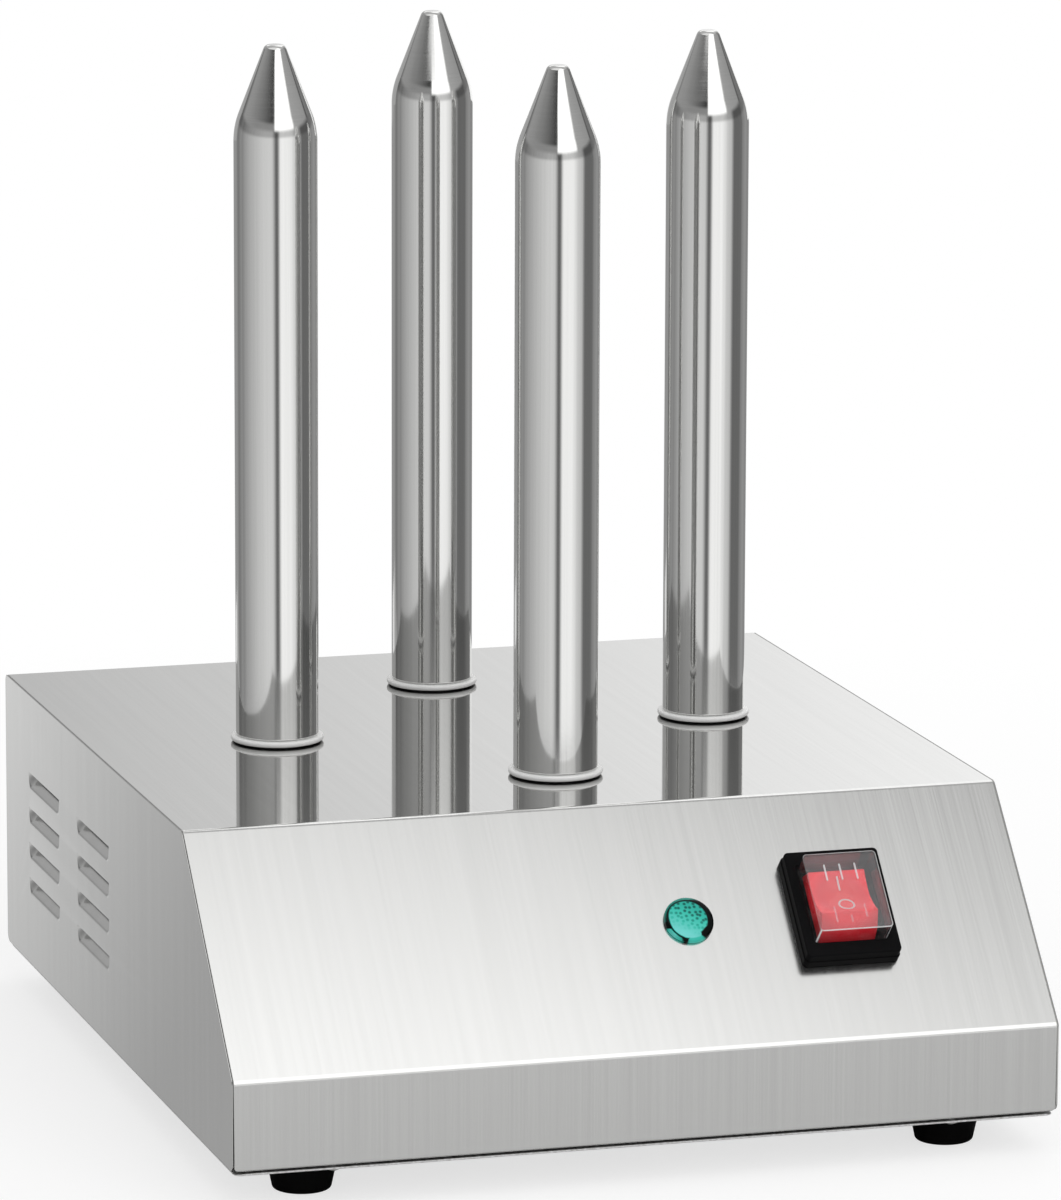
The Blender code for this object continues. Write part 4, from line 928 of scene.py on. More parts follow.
class MACHINE_OT_base_sheet(bpy.types.Operator):
    """Cuts the thin plated base plate with its screw holes"""

    bl_idname = "machine.base_sheet"
    bl_label = "Base Sheet"

    def execute(self, context):
        sizes = context.scene.machine_housing
        low, high = node_span("base_plate")
        middle = (low + high) / 2
        width, length = (high - low)[:2]
        soft, top = sizes.edge_radius, sizes.base_sheet
        loops = []
        for inset, rise in ((soft, 0), (0, soft), (0, top - soft), (soft, top)):
            loops.append(inset_loop(width, length, inset, sizes.fold_radius, rise))
        points = stacked(loops) + (middle[0], middle[1], low[2])
        mesh = mesh_from("base_sheet", points, loft_faces(*points.shape[:2]))
        piece = add_piece(mesh, "plate", ["base_plate"])
        holes = []
        outline = disc(sizes.base_hole, SCREW_STEPS)
        for name in [start + end for end in ENDS for start in ("base_screw_", "foot_screw_")]:
            x, y = middle_of(name)[:2]
            holes.append(peg(outline, 3 * sizes.sheet, ((x, y, middle[2]), UPRIGHT)))
        cut_holes(piece, holes)
        return {"FINISHED"}


# Feet

def foot_profile(tall, radius):
    """Half section of a tapered foot with a screw recess, a rounded lower edge and a soft top."""
    bottom, recess, hole, soft = [radius * share for share in (0.83, 0.41, 0.195, 0.12)]
    floor = tall * 0.45
    return np.vstack([
        [(hole, tall), (hole, floor), (recess, floor), (recess, 0)],
        arc((bottom - soft, soft), soft, -90, -4),
        arc((radius - soft, tall - soft), soft, 0, 90),
    ])


class MACHINE_OT_rubber_feet(bpy.types.Operator):
    """Turns the four rubber feet"""

    bl_idname = "machine.rubber_feet"
    bl_label = "Rubber Feet"

    def execute(self, context):
        for end in ENDS:
            low, high = node_span("foot_" + end)
            x, y = (low + high)[:2] / 2
            profile = foot_profile(high[2] - low[2], high[0] - x)
            mesh = turned_mesh("rubber_foot_" + end, profile, (x, y, low[2]), 64)
            add_piece(mesh, "rubber", ["foot_" + end])
        return {"FINISHED"}


# Spikes and seals

def cone_foot(sizes, radius, height):
    """Where a spike's cone would meet its tube if there were no shoulder between them."""
    return height - (radius - sizes.nose_radius) / math.tan(sizes.cone_angle)


def spike_profile(sizes, radius, height, neck_bottom):
    """Half section of a hollow spike, heights above the top plate: neck, foot, tube, shoulder arc,
    cone, blunt nose, then the bore back down."""
    angle = math.degrees(sizes.cone_angle)
    tight = math.tan((math.pi / 2 - sizes.cone_angle) / 2)
    bend, blunt, soft = sizes.shoulder_radius, sizes.nose_rounding, sizes.foot_radius
    cone = cone_foot(sizes, radius, height)
    bore, neck, wall, gap = sizes.neck_bore, sizes.neck_radius, sizes.wall, sizes.foot_gap
    inner, floor = radius - wall, gap + wall
    return np.vstack([
        [(bore, neck_bottom), (neck, neck_bottom), (neck, gap)],
        arc((radius - soft, gap + soft), soft, -90, 0, 5),
        arc((radius - bend, cone - bend * math.tan(sizes.cone_angle / 2)), bend, 0, angle, 14),
        arc((sizes.nose_radius - blunt * tight, height - blunt), blunt, angle, 90),
        [(0, height), (0, height - wall / math.sin(sizes.cone_angle)), (inner, cone - wall * tight)],
        [(inner, floor), (bore, floor)],
    ])


class MACHINE_OT_spikes(bpy.types.Operator):
    """Turns the four polished spikes"""

    bl_idname = "machine.spikes"
    bl_label = "Spikes"

    def execute(self, context):
        sizes = context.scene.machine_spikes
        for spot in SPOTS:
            low, high = node_span("spike_" + spot)
            x, y = (low + high)[:2] / 2
            radius = high[1] - y
            profile = spike_profile(sizes, radius, high[2] - TOP, low[2] - TOP)
            mesh = turned_mesh("polished_spike_" + spot, profile, (x, y, TOP))
            tag(mesh, "cone", mesh_points(mesh)[:, 2] > cone_foot(sizes, radius, high[2]))
            keep_flat(add_piece(mesh, "polished_tube", ["spike_" + spot]))
        return {"FINISHED"}


def seal_profile(sizes, hole, radius, tall):
    """Half section of a seal ring: a narrow foot for the dark gap, its edge round below and above."""
    soft, step = sizes.seal_rounding, sizes.seal_step
    under = 1.3 * soft
    foot = radius - 1.2 * under
    return np.vstack([
        [(hole, 0), (foot, 0), (foot, step)],
        arc((radius - under, step + under), under, -90, 0, 6),
        arc((radius - soft, tall - soft), soft, 0, 90, 6),
        [(hole, tall)],
    ])


class MACHINE_OT_seal_rings(bpy.types.Operator):
    """Turns the pale rings between spikes and top plate"""

    bl_idname = "machine.seal_rings"
    bl_label = "Seal Rings"

    def execute(self, context):
        sizes = context.scene.machine_spikes
        hole = sizes.neck_radius + context.scene.machine_switch.fit_gap
        for spot in SPOTS:
            low, high = node_span("spike_gasket_" + spot)
            x, y = (low + high)[:2] / 2
            tall = high[2] - low[2]
            profile = seal_profile(sizes, hole, high[1] - y, tall)
            mesh = turned_mesh("seal_ring_" + spot, profile, (x, y, low[2]))
            # The rise carries the seal's painted shade: black in the gap, lighter towards the top.
            rise = mesh_points(mesh)[:, 2] - low[2] - sizes.seal_step
            tag(mesh, "rise", np.clip(rise, 0, None) / (tall - sizes.seal_step))
            add_piece(mesh, "seal", ["spike_gasket_" + spot])
        return {"FINISHED"}


# Switch

class MACHINE_OT_switch_frame(bpy.types.Operator):
    """Moulds the black frame round the switch"""

    bl_idname = "machine.switch_frame"
    bl_label = "Switch Frame"

    def execute(self, context):
        sizes = context.scene.machine_switch
        place = row_place("switch_surround")
        low, high = node_span("switch_surround", *place)
        foot, head = low[2], high[2]
        shelf_share, ledge_share = 0.42, 0.46875
        shelf = foot + shelf_share * (head - foot)
        ledge = foot + ledge_share * (head - foot)
        outer = (2 * high[0], high[1] - low[1])
        inner = [side + 2 * sizes.fit_gap for side in (sizes.cover_width, sizes.cover_length)]
        radius, corner = sizes.surround_radius, sizes.cover_radius
        ease, step = sizes.surround_ease, sizes.surround_step
        loops = [
            inset_loop(*inner, -sizes.rim, corner, foot),
            inset_loop(*outer, 0, radius, foot),
            inset_loop(*outer, 0, radius, shelf - step / 2),
            inset_loop(*outer, step / 2, radius, shelf),
            inset_loop(*outer, step, radius, shelf),
        ]
        for drawn, below in quarter_turn(ease):
            loops.append(inset_loop(*outer, step + drawn, radius - drawn, head - below))
        loops += [
            inset_loop(*inner, -ease / 2, corner, head),
            inset_loop(*inner, 0, corner, head - ease / 2),
            inset_loop(*inner, 0, corner, ledge),
            inset_loop(*inner, -sizes.rim, corner, ledge),
        ]
        points = placed(stacked(loops), place)
        mesh = mesh_from("switch_frame", points, grid_faces(*points.shape[:2], True, True))
        keep_flat(add_piece(mesh, "black_plastic", ["switch_surround"]))
        return {"FINISHED"}


def cover_loops(sizes, inset, rise, rounding, bottom):
    """Outlines of one wall surface of the cover, from its foot to the edge of its flat top."""
    width, length = sizes.cover_width - 2 * inset, sizes.cover_length - 2 * inset
    radius = sizes.cover_radius - inset
    rounds = [(drawn, rise - below) for drawn, below in quarter_turn(rounding)]
    steps = [(0, bottom), (0, rise - 2 * rounding), *rounds, (1.6 * rounding, rise)]
    return [inset_loop(width, length, step, radius - step, height) for step, height in steps]


def cover_milk_and_highlights(haze):
    """How milky the cover's outer outlines are, painted highlights included: a row for each from rim to
    top, a quarter of it for each corner, and a painted highlight spot on each of the two lower corners.
    The white round the top edge and its uneven quarters are painted highlights; the haze on the top is
    the plastic's own."""
    count = ROUND_STEPS + 1
    # Painted highlight round the top edge, uneven by side; the last row is the top's own haze.
    rows = [0, 0, 0, 0, 0.3, 0.6, 0.8, 0.8, 0.6, 0.3, haze]
    quarters = [np.linspace(*ends, count) for ends in ((0.9, 0.9), (0.7, 0.25), (0.25, 1), (1, 1))]
    white = np.outer(rows, np.concatenate(quarters))
    for quarter in (2, 3):
        spot = quarter * count + ROUND_STEPS // 2
        # Painted highlight: a bright upright spot on each lower corner.
        white[2:5, spot - 1:spot + 2] = (0.75, 1, 0.75)
    white[-1] = haze
    return white


def rib_bars(sizes):
    """Raised bars on the cover's top, near both ends: rows of (x, lower end, upper end, whiteness), the
    whiteness being a painted highlight.
    """
    length = sizes.cover_length
    bars = []
    for column, low, high in ((-1, -0.40, -0.20), (0, -0.41, -0.32), (1, -0.355, -0.19)):
        x = (column - 0.17) * sizes.rib_pitch
        bars.append((x, 0.14 * length, 0.35 * length, 0.40))
        bars.append((x, low * length, high * length, 0.13))
    return bars


class MACHINE_OT_splash_cover(bpy.types.Operator):
    """Moulds the clear cover with its rim and ribs"""

    bl_idname = "machine.splash_cover"
    bl_label = "Splash Cover"

    def execute(self, context):
        sizes = context.scene.machine_switch
        place = row_place("switch_cover")
        low, high = node_span("switch_cover", *place)
        bottom, top, wall, ease = low[2], high[2], sizes.cover_wall, sizes.cover_ease
        shelf, flat = bottom + sizes.rim_thickness, top - sizes.rib_rise
        size = (sizes.cover_width, sizes.cover_length)
        rim = [inset_loop(*size, -sizes.rim, sizes.cover_radius, rise) for rise in (bottom, shelf)]
        outer = stacked(rim + cover_loops(sizes, 0, flat, ease, shelf))
        inner = stacked(cover_loops(sizes, wall, flat - wall, ease / 2, bottom))
        rows, count = outer.shape[:2]
        first = rows * count
        faces = loft_faces(rows, count, 0, False) + loft_faces(len(inner), count, first, False)
        for a in range(count):
            b = (a + 1) % count
            faces.append([a, b, first + b, first + a])
        points = np.vstack([outer, inner]).reshape(-1, 3)
        white = np.append(cover_milk_and_highlights(sizes.cover_haze), np.zeros(len(points) - first))
        for x, start, stop, tone in rib_bars(sizes):
            outline = rounded_rectangle(sizes.rib_width, stop - start, sizes.rib_width / 2, 4)
            bar = stacked([(outline, flat), (outline, top - sizes.rib_rise / 3), (outline * 0.6, top)])
            faces += loft_faces(*bar.shape[:2], len(points))
            points = np.vstack([points, bar.reshape(-1, 3) + (x, (start + stop) / 2, 0)])
            white = np.append(white, np.full(len(points) - len(white), tone))
        points = placed(points, place)
        mesh = mesh_from("splash_cover", points, faces)
        # The edge values carry the cover's haze and its painted highlights.
        tag(mesh, "edge", nearest(mesh_points(mesh), points, white))
        add_piece(mesh, "clear", ["switch_cover"])
        return {"FINISHED"}


def nearest(points, known, values):
    """The value of the known point that lies closest to each point."""
    gaps = ((points[:, None] - known[None]) ** 2).sum(-1)
    return values[gaps.argmin(1)]


def face_height(sizes, reach):
    """Height of the rocker's hollow face above the pivot at a distance up the slope."""
    radius = (sizes.face_reach**2 + sizes.face_sag**2) / (2 * sizes.face_sag)
    return sizes.face_rise - (np.sqrt(radius**2 - reach**2) - (radius - sizes.face_sag))


def rocker_section(sizes):
    """Closed section across the pivot as (up the slope, out of it): hollow face, bevels, flanks, sole."""
    reach = np.linspace(sizes.face_reach, -sizes.face_reach, 25)
    flank = np.array([
        (sizes.sole_reach, -sizes.sole_drop),
        (sizes.skirt_reach, sizes.skirt_rise),
        (sizes.end_reach, sizes.end_rise),
    ])
    face = np.column_stack([reach, face_height(sizes, reach)])
    return np.vstack([flank, face, (flank * (-1, 1))[::-1]])


def rocker_place(sizes):
    """The pivot and the rocker's own axes at rest: the slope's, tilted about the pivot."""
    slope = slope_place(bpy.context.scene.machine_housing)[1]
    tilt = np.array(Matrix.Rotation(sizes.tilt, 3, "X"))
    return np.array(frame["joints"][0]["pos_m"]), tilt.T @ slope


class MACHINE_OT_rocker(bpy.types.Operator):
    """Moulds the red rocker with its hollow face and soft edges"""

    bl_idname = "machine.rocker"
    bl_label = "Rocker"

    def execute(self, context):
        sizes = context.scene.machine_rocker
        section = rocker_section(sizes)
        middle = section.mean(0)
        spoke = section - middle
        reach = np.linalg.norm(spoke, axis=1, keepdims=True)
        rows = []
        for drawn, below in quarter_turn(sizes.edge):
            side = np.full(len(section), sizes.width / 2 - drawn)
            rows.append(np.column_stack([side, middle + spoke * (1 - below / reach)]))
        rows = [row * (-1, 1, 1) for row in rows] + rows[::-1]
        points = placed(np.stack(rows), rocker_place(sizes))
        mesh = mesh_from("rocker_cap", points, loft_faces(*points.shape[:2]))
        keep_flat(add_piece(mesh, "red_plastic", ["switch_rocker"], "rocker"))
        return {"FINISHED"}


def laid_strip(sizes, line, width, closed):
    """A thin mark along a line of (across, up) points, lying on the rocker's hollow face."""
    line = np.asarray(line, float)
    ahead = np.roll(line, -1, 0) - np.roll(line, 1, 0) if closed else np.gradient(line, axis=0)
    ahead /= np.linalg.norm(ahead, axis=1, keepdims=True)
    aside = np.column_stack([-ahead[:, 1], ahead[:, 0]]) * width / 2
    rows = []
    for share, rise in ((-1, -1), (-0.8, 1), (0.8, 1), (1, -1)):
        spot = line + share * aside
        height = face_height(sizes, spot[:, 1]) + rise * sizes.mark_rise
        rows.append(np.column_stack([spot, height]))
    return np.stack(rows, 1)


class MACHINE_OT_rocker_marks(bpy.types.Operator):
    """Lays the plain bar and ring on the rocker's face"""

    bl_idname = "machine.rocker_marks"
    bl_label = "Rocker Marks"

    def execute(self, context):
        sizes = context.scene.machine_rocker
        place = rocker_place(sizes)
        half = sizes.bar_length / 2
        bar = [(0, sizes.bar_place + half * share) for share in np.linspace(-1, 1, 9)]
        ring = disc(sizes.ring_radius) + (sizes.ring_aside, sizes.ring_place)
        for name, line, closed in (("mark_bar", bar, False), ("mark_ring", ring, True)):
            points = placed(laid_strip(sizes, line, sizes.mark_line, closed), place)
            rows, count = points.shape[:2]
            faces = grid_faces(rows, count, True, True) if closed else loft_faces(rows, count)
            add_piece(mesh_from(name, points, faces), "mark_white", body="rocker")
        return {"FINISHED"}


# Lamp

class MACHINE_OT_lamp_window(bpy.types.Operator):
    """Moulds the green window of the pilot lamp"""

    bl_idname = "machine.lamp_window"
    bl_label = "Lamp Window"

    def execute(self, context):
        sizes = context.scene.machine_lamp
        place = row_place("lamp_lens")
        low, high = node_span("lamp_lens", *place)
        radius, foot = high[0], context.scene.machine_switch.fit_gap
        inward = np.linspace(0, 1, 56)
        dome = sizes.rim_rise + (sizes.disc_rise - sizes.rim_rise) * np.sqrt(1 - (1 - inward) ** 4)
        profile = np.vstack([
            [(0, low[2]), (sizes.spigot_radius, low[2]), (sizes.spigot_radius, foot), (radius, foot)],
            np.column_stack([radius * (1 - inward), dome]),
        ])
        points, faces = turned(profile, 2 * TURN_STEPS)
        mesh = mesh_from("lamp_window", placed(points, place), faces)
        local = (mesh_points(mesh) - place[0]) @ place[1].T
        lean = (0.33, 0.56)
        shown = local[:, :2] + (local[:, 2:] - sizes.rim_rise) * lean
        tone, dots = window_tones(*shown.T, radius)
        tag(mesh, "glow", tone)
        tag(mesh, "dots", dots)
        spot = mesh.attributes.new("spot", "FLOAT_VECTOR", "POINT")
        spot.data.foreach_set("vector", local.astype(np.float32).ravel())
        add_piece(mesh, "lamp", ["lamp_lens"])
        return {"FINISHED"}


# Gland

def gland_place():
    """The gland's axis on the back: to the right, down and out of the back."""
    seal = middle_of("cable_gland_seal")
    return np.array([seal[0], BACK, seal[2]]), np.array([(1, 0, 0), (0, 0, -1), (0, 1, 0)])


class MACHINE_OT_gland_dome(bpy.types.Operator):
    """Turns the gland's dome nut with its grip ribs"""

    bl_idname = "machine.gland_dome"
    bl_label = "Gland Dome Nut"

    def execute(self, context):
        place = gland_place()
        low, high = node_span("cable_gland_dome_nut", *place)
        mouth, _, seat = node_span("cable_gland_seal", *place)[1]
        gap = context.scene.machine_switch.fit_gap
        rib_count, rib_depth, ease, steps = 18, 0.0007, 0.0002, 144
        bore, thread, seat = 0.7 * mouth, mouth + gap, seat + gap
        foot, end, radius = low[2], high[2], high[0] - ease
        shoulder = foot + 0.55 * (end - foot)
        rise = np.radians(np.linspace(0, 90, 9))
        curve = np.column_stack([np.cos(rise), np.sin(rise) ** 0.8])
        dome = (mouth, shoulder) + curve * (radius - mouth, end - shoulder)
        profile = np.vstack([
            [(thread, foot), (radius, foot), (radius, foot + ease), (radius, shoulder - ease)],
            dome,
            [(bore, end), (bore, seat), (thread, seat)],
        ])
        turn = np.linspace(0, math.tau, steps, endpoint=False)
        reach = profile[:, :1] + 0 * turn
        reach[2:4] -= rib_depth / 2 * (1 - np.clip(np.cos(turn * rib_count) * 3, -1, 1))
        points = np.stack([reach * np.cos(turn), reach * np.sin(turn), profile[:, 1:] + 0 * turn], -1)
        mesh = mesh_from("gland_dome", placed(points, place), grid_faces(*points.shape[:2], True, True))
        add_piece(mesh, "grey_plastic", ["cable_gland_dome_nut"])
        return {"FINISHED"}


# Nodes that keep their packed shape

NODE_FINISHES = {
    "base_screw": "zinc",
    "foot_screw": "zinc",
    "foot_nut": "zinc",
    "spike_nut": "zinc",
    "lamp_clip": "zinc",
    "heating_rod": "rod_sheath",
    "switch_body": "black_plastic",
    "switch_blade": "brass",
    "lamp_body": "ceramic",
    "cable_gland_body": "grey_plastic",
    "cable_gland_locknut": "grey_plastic",
    "cable_gland_seal": "rubber",
    "terminal_block": "ceramic",
    "thermostat": "ceramic",
    "earth": "brass",
    "wire": "wire",
}


class MACHINE_OT_node_finishes(bpy.types.Operator):
    """Gives the packed solids that still show their finishes"""

    bl_idname = "machine.node_finishes"
    bl_label = "Node Finishes"

    def execute(self, context):
        for name, solid in frame["nodes"].items():
            for start, finish in NODE_FINISHES.items():
                if name.startswith(start):
                    for slot in solid.material_slots:
                        slot.material = finishes()[finish]
        return {"FINISHED"}


# Stage

def camera_place(sizes):
    """The camera's turn and place: its own axes from yaw, pitch and roll, stepped back from the
    housing's lower front left corner."""
    yaw, pitch, roll = sizes.yaw, sizes.pitch, sizes.roll
    ahead = np.array([math.sin(yaw) * math.cos(pitch), math.cos(yaw) * math.cos(pitch), -math.sin(pitch)])
    aside = np.array([math.cos(yaw), -math.sin(yaw), 0])
    above = np.cross(aside, ahead)
    right = aside * math.cos(roll) + above * math.sin(roll)
    up = above * math.cos(roll) - aside * math.sin(roll)
    corner = np.array([-PANEL_FACE, FRONT, BOTTOM])
    spot = corner + right * sizes.aside + up * sizes.above - ahead * sizes.away
    matrix = np.eye(4)
    matrix[:3] = np.column_stack([right, up, -ahead, spot])
    return Matrix(matrix.tolist())


# Studio brightness round the machine, by angle from the camera's side: (degrees, brightness),
# negative to the camera's left. Below: what the tubes show of table and stands. Middle: the room
# a little above the horizon. Above: the room higher up.
BELOW = (
    (-180, 0.34), (-137, 0.36), (-123, 0.22), (-109, 0.35), (-102, 0.30), (-93, 0.40), (-77, 0.51),
    (-51, 0.67), (-27, 0.80), (-14, 0.83), (-7, 0.78), (-1, 0.40), (2, 0.17), (7, 0.16), (10, 0.41),
    (13, 0.86), (16, 1.17), (42, 1.15), (52, 0.94), (58, 0.77), (70, 0.65), (75, 0.36), (80, 0.17),
    (109, 0.18), (115, 0.28), (133, 0.37), (147, 0.29), (180, 0.34),
)
MIDDLE = (
    (-180, 0.60), (-150, 0.44), (-110, 0.38), (-60, 0.32), (-2, 0.32), (1, 1.60), (54, 1.60),
    (60, 0.46), (112, 0.38), (116, 0.10), (120, 0.10), (124, 0.37), (180, 0.60),
)
ABOVE = (
    (-180, 1.60), (-155, 1.60), (-145, 0.44), (-110, 0.38), (-60, 0.27), (-36, 0.18), (-8, 0.06),
    (-2, 0.10), (1, 1.60), (54, 1.60), (60, 0.46), (112, 0.38), (116, 0.10), (120, 0.10), (124, 0.37),
    (150, 0.50), (160, 1.60), (180, 1.60),
)
BRIGHTEST = 1.6


def studio_world(sizes):
    """A soft studio seen by light and metal, and plain white for the camera.

    Brightness is read from ramps over the angle round Z, one for each band of height: below,
    darker from just over the horizon up, then middle, then above. A ramp stops at 1, so it holds
    half the brightness, and the background's strength doubles it.
    """
    world = bpy.data.worlds.new("studio")
    world.use_nodes = True
    tree = world.node_tree
    way = node(tree, "TexCoord").outputs["Generated"]
    height = node(tree, "SeparateXYZ", {0: way}).outputs["Z"]
    aside = (math.cos(sizes.yaw), -math.sin(sizes.yaw), 0)
    toward = (-math.sin(sizes.yaw), -math.cos(sizes.yaw), 0)
    parts = []
    for axis in (aside, toward):
        parts.append(node(tree, "VectorMath", {0: way, 1: axis}, operation="DOT_PRODUCT").outputs["Value"])
    share = reckon(tree, "MULTIPLY_ADD", reckon(tree, "ARCTAN2", *parts), 1 / math.tau, 0.5)
    bands = []
    for table in (BELOW, MIDDLE, ABOVE):
        bands.append(ramp(tree, share, [(place / 360 + 0.5, [tone / 2] * 3) for place, tone in table]))
    below, middle, above = bands
    room = blend(tree, ranged(tree, height, 0.38, 0.45), middle, above)
    darker = blend(tree, ranged(tree, height, 0.04, 0.10, 0.0, 0.38), below, (0, 0, 0, 1))
    tone = blend(tree, ranged(tree, height, 0.20, 0.28), darker, room)
    glow = node(tree, "Background", {"Color": tone, "Strength": 2.0})
    plain = node(tree, "Background", {"Color": (1, 1, 1, 1), "Strength": 1.0})
    both = either(tree, node(tree, "LightPath").outputs["Is Camera Ray"], glow, plain)
    feed(tree.nodes["World Output"], {"Surface": both.outputs[0]})
    return world


def stand(name, mesh, surface, lights=True):
    """Stage piece that the camera doesn't see; if it doesn't light, only metal shows it."""
    sheet = bpy.data.objects.new(name, mesh)
    mesh.materials.append(surface)
    bpy.context.scene.collection.objects.link(sheet)
    sheet.visible_camera = False
    sheet.visible_diffuse = lights
    sheet.visible_shadow = lights
    return sheet


def card(name, corners, surface, lights=True):
    """A flat lit sheet between its corners."""
    mesh = bpy.data.meshes.new(name)
    mesh.from_pydata(corners, [], [range(len(corners))])
    return stand(name, mesh, surface, lights)


def level_corners(left, right, front, back, height=0.001):
    """Corners of a level rectangle, just over the floor."""
    return [(left, front, height), (right, front, height), (right, back, height), (left, back, height)]


def lit_surface(name, level, across, along, low, high):
    """Light whose strength changes evenly over a card: level + across x + along y, kept in range."""
    surface, tree = bare_surface(name)
    parts = node(tree, "SeparateXYZ", {0: object_place(tree)}).outputs
    first = reckon(tree, "MULTIPLY_ADD", parts["X"], across, level)
    both = reckon(tree, "MULTIPLY_ADD", parts["Y"], along, first)
    kept = node(tree, "Clamp", {"Value": both, "Min": low, "Max": high}).outputs[0]
    return finished(surface, node(tree, "Emission", {"Strength": kept}))


def ceiling_level(x, y):
    """Brightness of the top light: falling evenly to the right and to the back, its limit lower on
    the left; in the band the slope shows, a second order surface in the distances from one spot,
    and level further left; and a bright patch over the back right, which the upper fold shows."""
    limit = BRIGHTEST - 0.6 * np.clip((0.15 - x) / 0.3, 0, 1)
    plain = np.clip(0.01 - 1.30 * x - 3.1 * y, 0.55, limit)
    a, b = x - 0.37, y + 0.44
    shown = np.clip(0.895 - 1.62 * a - 4.11 * b - 3.38 * a**2 - 3.61 * a * b, 0.45, BRIGHTEST)
    left = np.clip(-(a + 0.28) / 0.30, 0, 1)
    shown = shown + left * (0.98 - shown)
    share = np.exp(-((np.clip(a, -0.15, None) / 0.30) ** 4) - (b / 0.20) ** 4)
    level = plain + share * (shown - plain)
    patch = np.exp(-(((x - 0.42) / 0.36) ** 4) - ((y - 0.58) / 0.32) ** 4)
    return level + patch * (BRIGHTEST - level)


def ceiling(radius, height):
    """The round top light, its brightness carried by its points."""
    rings, steps = 60, 144
    points, faces = turned([(reach, height) for reach in np.linspace(0, radius, rings)], steps)
    mesh = mesh_from("top_light", points, faces, closed=False)
    spots = mesh_points(mesh)
    tag(mesh, "level", ceiling_level(spots[:, 0], spots[:, 1]))
    surface, tree = bare_surface("top_light")
    finished(surface, node(tree, "Emission", {"Strength": attribute(tree, "level")}))
    return stand("top_light", mesh, surface)


def floor_surface(sizes):
    """Pale floor: lifted to white for the camera, and seen by metal only near the machine."""
    surface, tree = bare_surface("pale_floor")
    cloud = spread(tree, pattern(tree, 3.0))
    matt, shown = [
        node(tree, "BsdfDiffuse", {"Color": tinted(tree, cloud, [tone] * 3, 0.99, 1.0)})
        for tone in (sizes.floor_tone, sizes.shadow_tone)
    ]
    lift = node(tree, "Emission", {"Strength": sizes.floor_lift})
    near = node(tree, "AddShader", {0: shown.outputs[0], 1: lift.outputs[0]})
    reach = node(tree, "VectorMath", {0: object_place(tree)}, operation="LENGTH").outputs["Value"]
    fade = ranged(tree, reach, sizes.shadow_reach * 0.6, sizes.shadow_reach * 1.6)
    bright = either(tree, fade, near, node(tree, "Emission", {"Strength": 1.0}))
    rays = node(tree, "LightPath").outputs
    seen = either(tree, rays["Is Camera Ray"], matt, bright)
    far = ranged(tree, rays["Ray Length"], sizes.near_floor, sizes.near_floor * 1.2)
    gone = reckon(tree, "MULTIPLY", far, rays["Is Glossy Ray"])
    return finished(surface, either(tree, gone, seen, node(tree, "BsdfTransparent")))


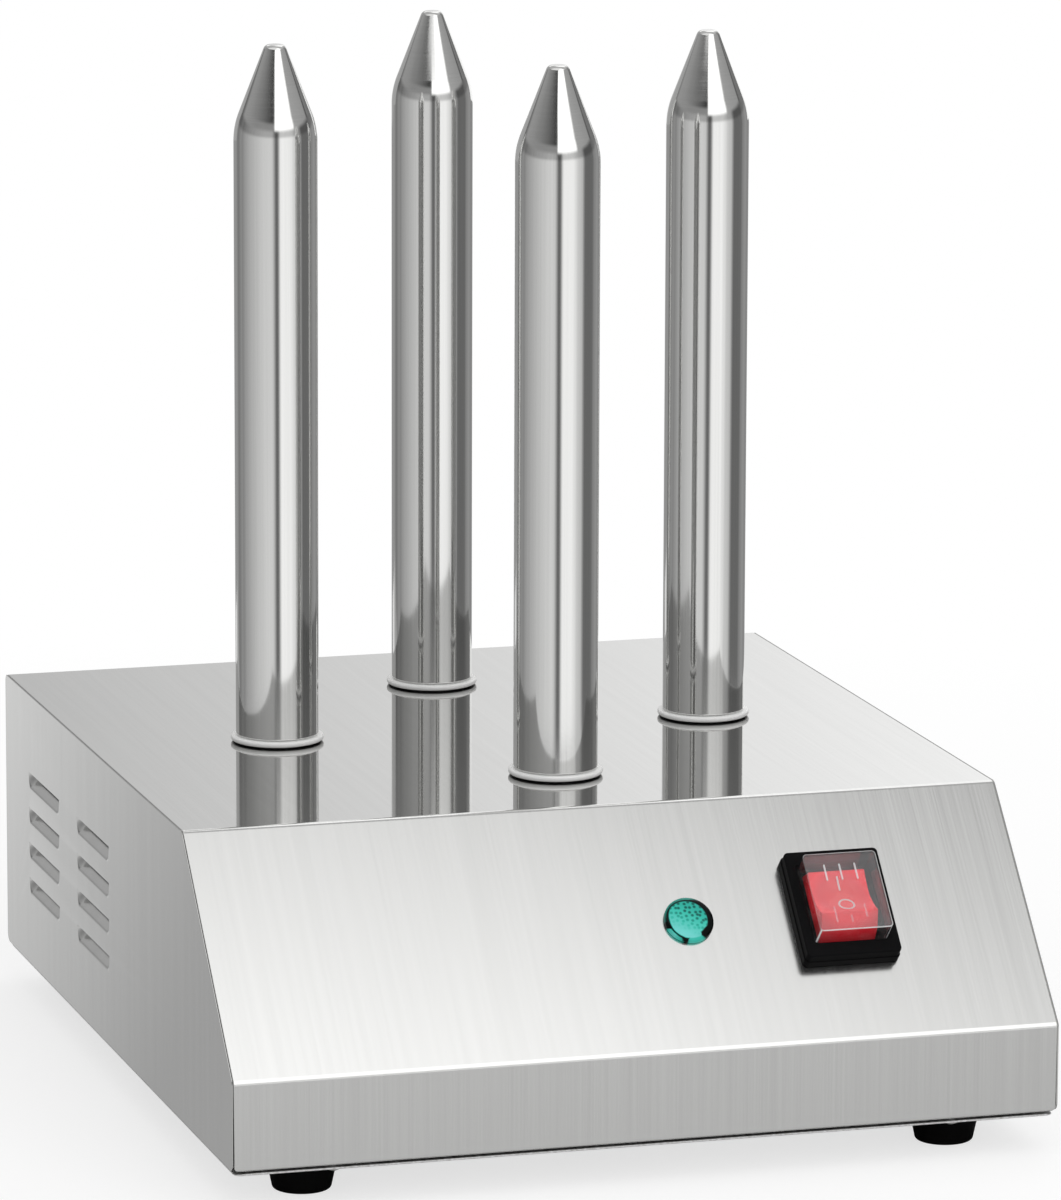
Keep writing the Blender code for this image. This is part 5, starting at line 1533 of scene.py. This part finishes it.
class MACHINE_OT_stage(bpy.types.Operator):
    """Sets up floor, lights and camera"""

    bl_idname = "machine.stage"
    bl_label = "Stage"

    def execute(self, context):
        scene = context.scene
        sizes = scene.machine_stage
        scene.view_settings.view_transform = "Standard"
        scene.world = studio_world(sizes)
        reach = sizes.floor_reach
        ground = card("floor", level_corners(-reach, reach, -reach, reach, 0), floor_surface(sizes))
        ground.visible_camera = True
        ceiling(sizes.ceiling_size / 2, sizes.ceiling_height)
        aside = lit_surface("side_glow", level=0.886, across=2.90, along=1.0, low=0.43, high=0.90)
        spots = level_corners(left=-0.45, right=-0.142, front=-0.16, back=0.8)
        card("side_glow", spots, aside, False)
        ahead = lit_surface("front_glow", level=0.57, across=-0.07, along=-0.25, low=0.50, high=0.80)
        spots = level_corners(left=-0.3, right=0.5, front=-0.5, back=-0.175)
        card("front_glow", spots, ahead, False)
        back = lit_surface("back_light", level=0.52, across=0.95, along=0.0, low=0.45, high=1.15)
        spots = ((-0.8, 0.16), (1.4, 0.16), (1.4, 0.9), (-0.8, 0.9))
        card("back_light", [(x, sizes.back_light, z) for x, z in spots], back)
        lens = bpy.data.cameras.new("camera")
        lens.lens = sizes.lens
        lens.sensor_width = 36.0
        lens.clip_start, lens.clip_end = 0.05, 50
        camera = bpy.data.objects.new("camera", lens)
        camera.matrix_world = camera_place(sizes)
        scene.collection.objects.link(camera)
        scene.camera = camera
        return {"FINISHED"}


STEPS = (
    MACHINE_OT_folded_sheet,
    MACHINE_OT_side_panels,
    MACHINE_OT_base_sheet,
    MACHINE_OT_rubber_feet,
    MACHINE_OT_spikes,
    MACHINE_OT_seal_rings,
    MACHINE_OT_switch_frame,
    MACHINE_OT_splash_cover,
    MACHINE_OT_rocker,
    MACHINE_OT_rocker_marks,
    MACHINE_OT_lamp_window,
    MACHINE_OT_gland_dome,
    MACHINE_OT_node_finishes,
    MACHINE_OT_stage,
)


class MACHINE_PT_panel(bpy.types.Panel):
    """Lists the machine's sizes and its steps"""

    bl_idname = "MACHINE_PT_panel"
    bl_label = "Spike Machine"
    bl_space_type = "VIEW_3D"
    bl_region_type = "UI"
    bl_category = "Spike Machine"

    def draw(self, context):
        """Shows every size in a box for each group, and a button for each step."""
        for key, group in GROUPS.items():
            box = self.layout.box()
            box.label(text=group.__doc__)
            for name in group.__annotations__:
                box.prop(getattr(context.scene, key), name)
        for step in STEPS:
            self.layout.operator(step.bl_idname)


def register():
    """Makes the groups, steps and panel known to Blender."""
    for group in GROUPS.values():
        bpy.utils.register_class(group)
    for key, group in GROUPS.items():
        setattr(bpy.types.Scene, key, PointerProperty(type=group))
    for step in STEPS:
        bpy.utils.register_class(step)
    bpy.utils.register_class(MACHINE_PT_panel)


def unregister():
    """Takes the panel, the steps and the groups away again."""
    bpy.utils.unregister_class(MACHINE_PT_panel)
    for step in STEPS:
        bpy.utils.unregister_class(step)
    for key, group in GROUPS.items():
        delattr(bpy.types.Scene, key)
        bpy.utils.unregister_class(group)


def main():
    """Makes every piece in turn."""
    register()
    for step in STEPS:
        family, name = step.bl_idname.split(".")
        getattr(getattr(bpy.ops, family), name)()


if __name__ == "__main__":
    main()
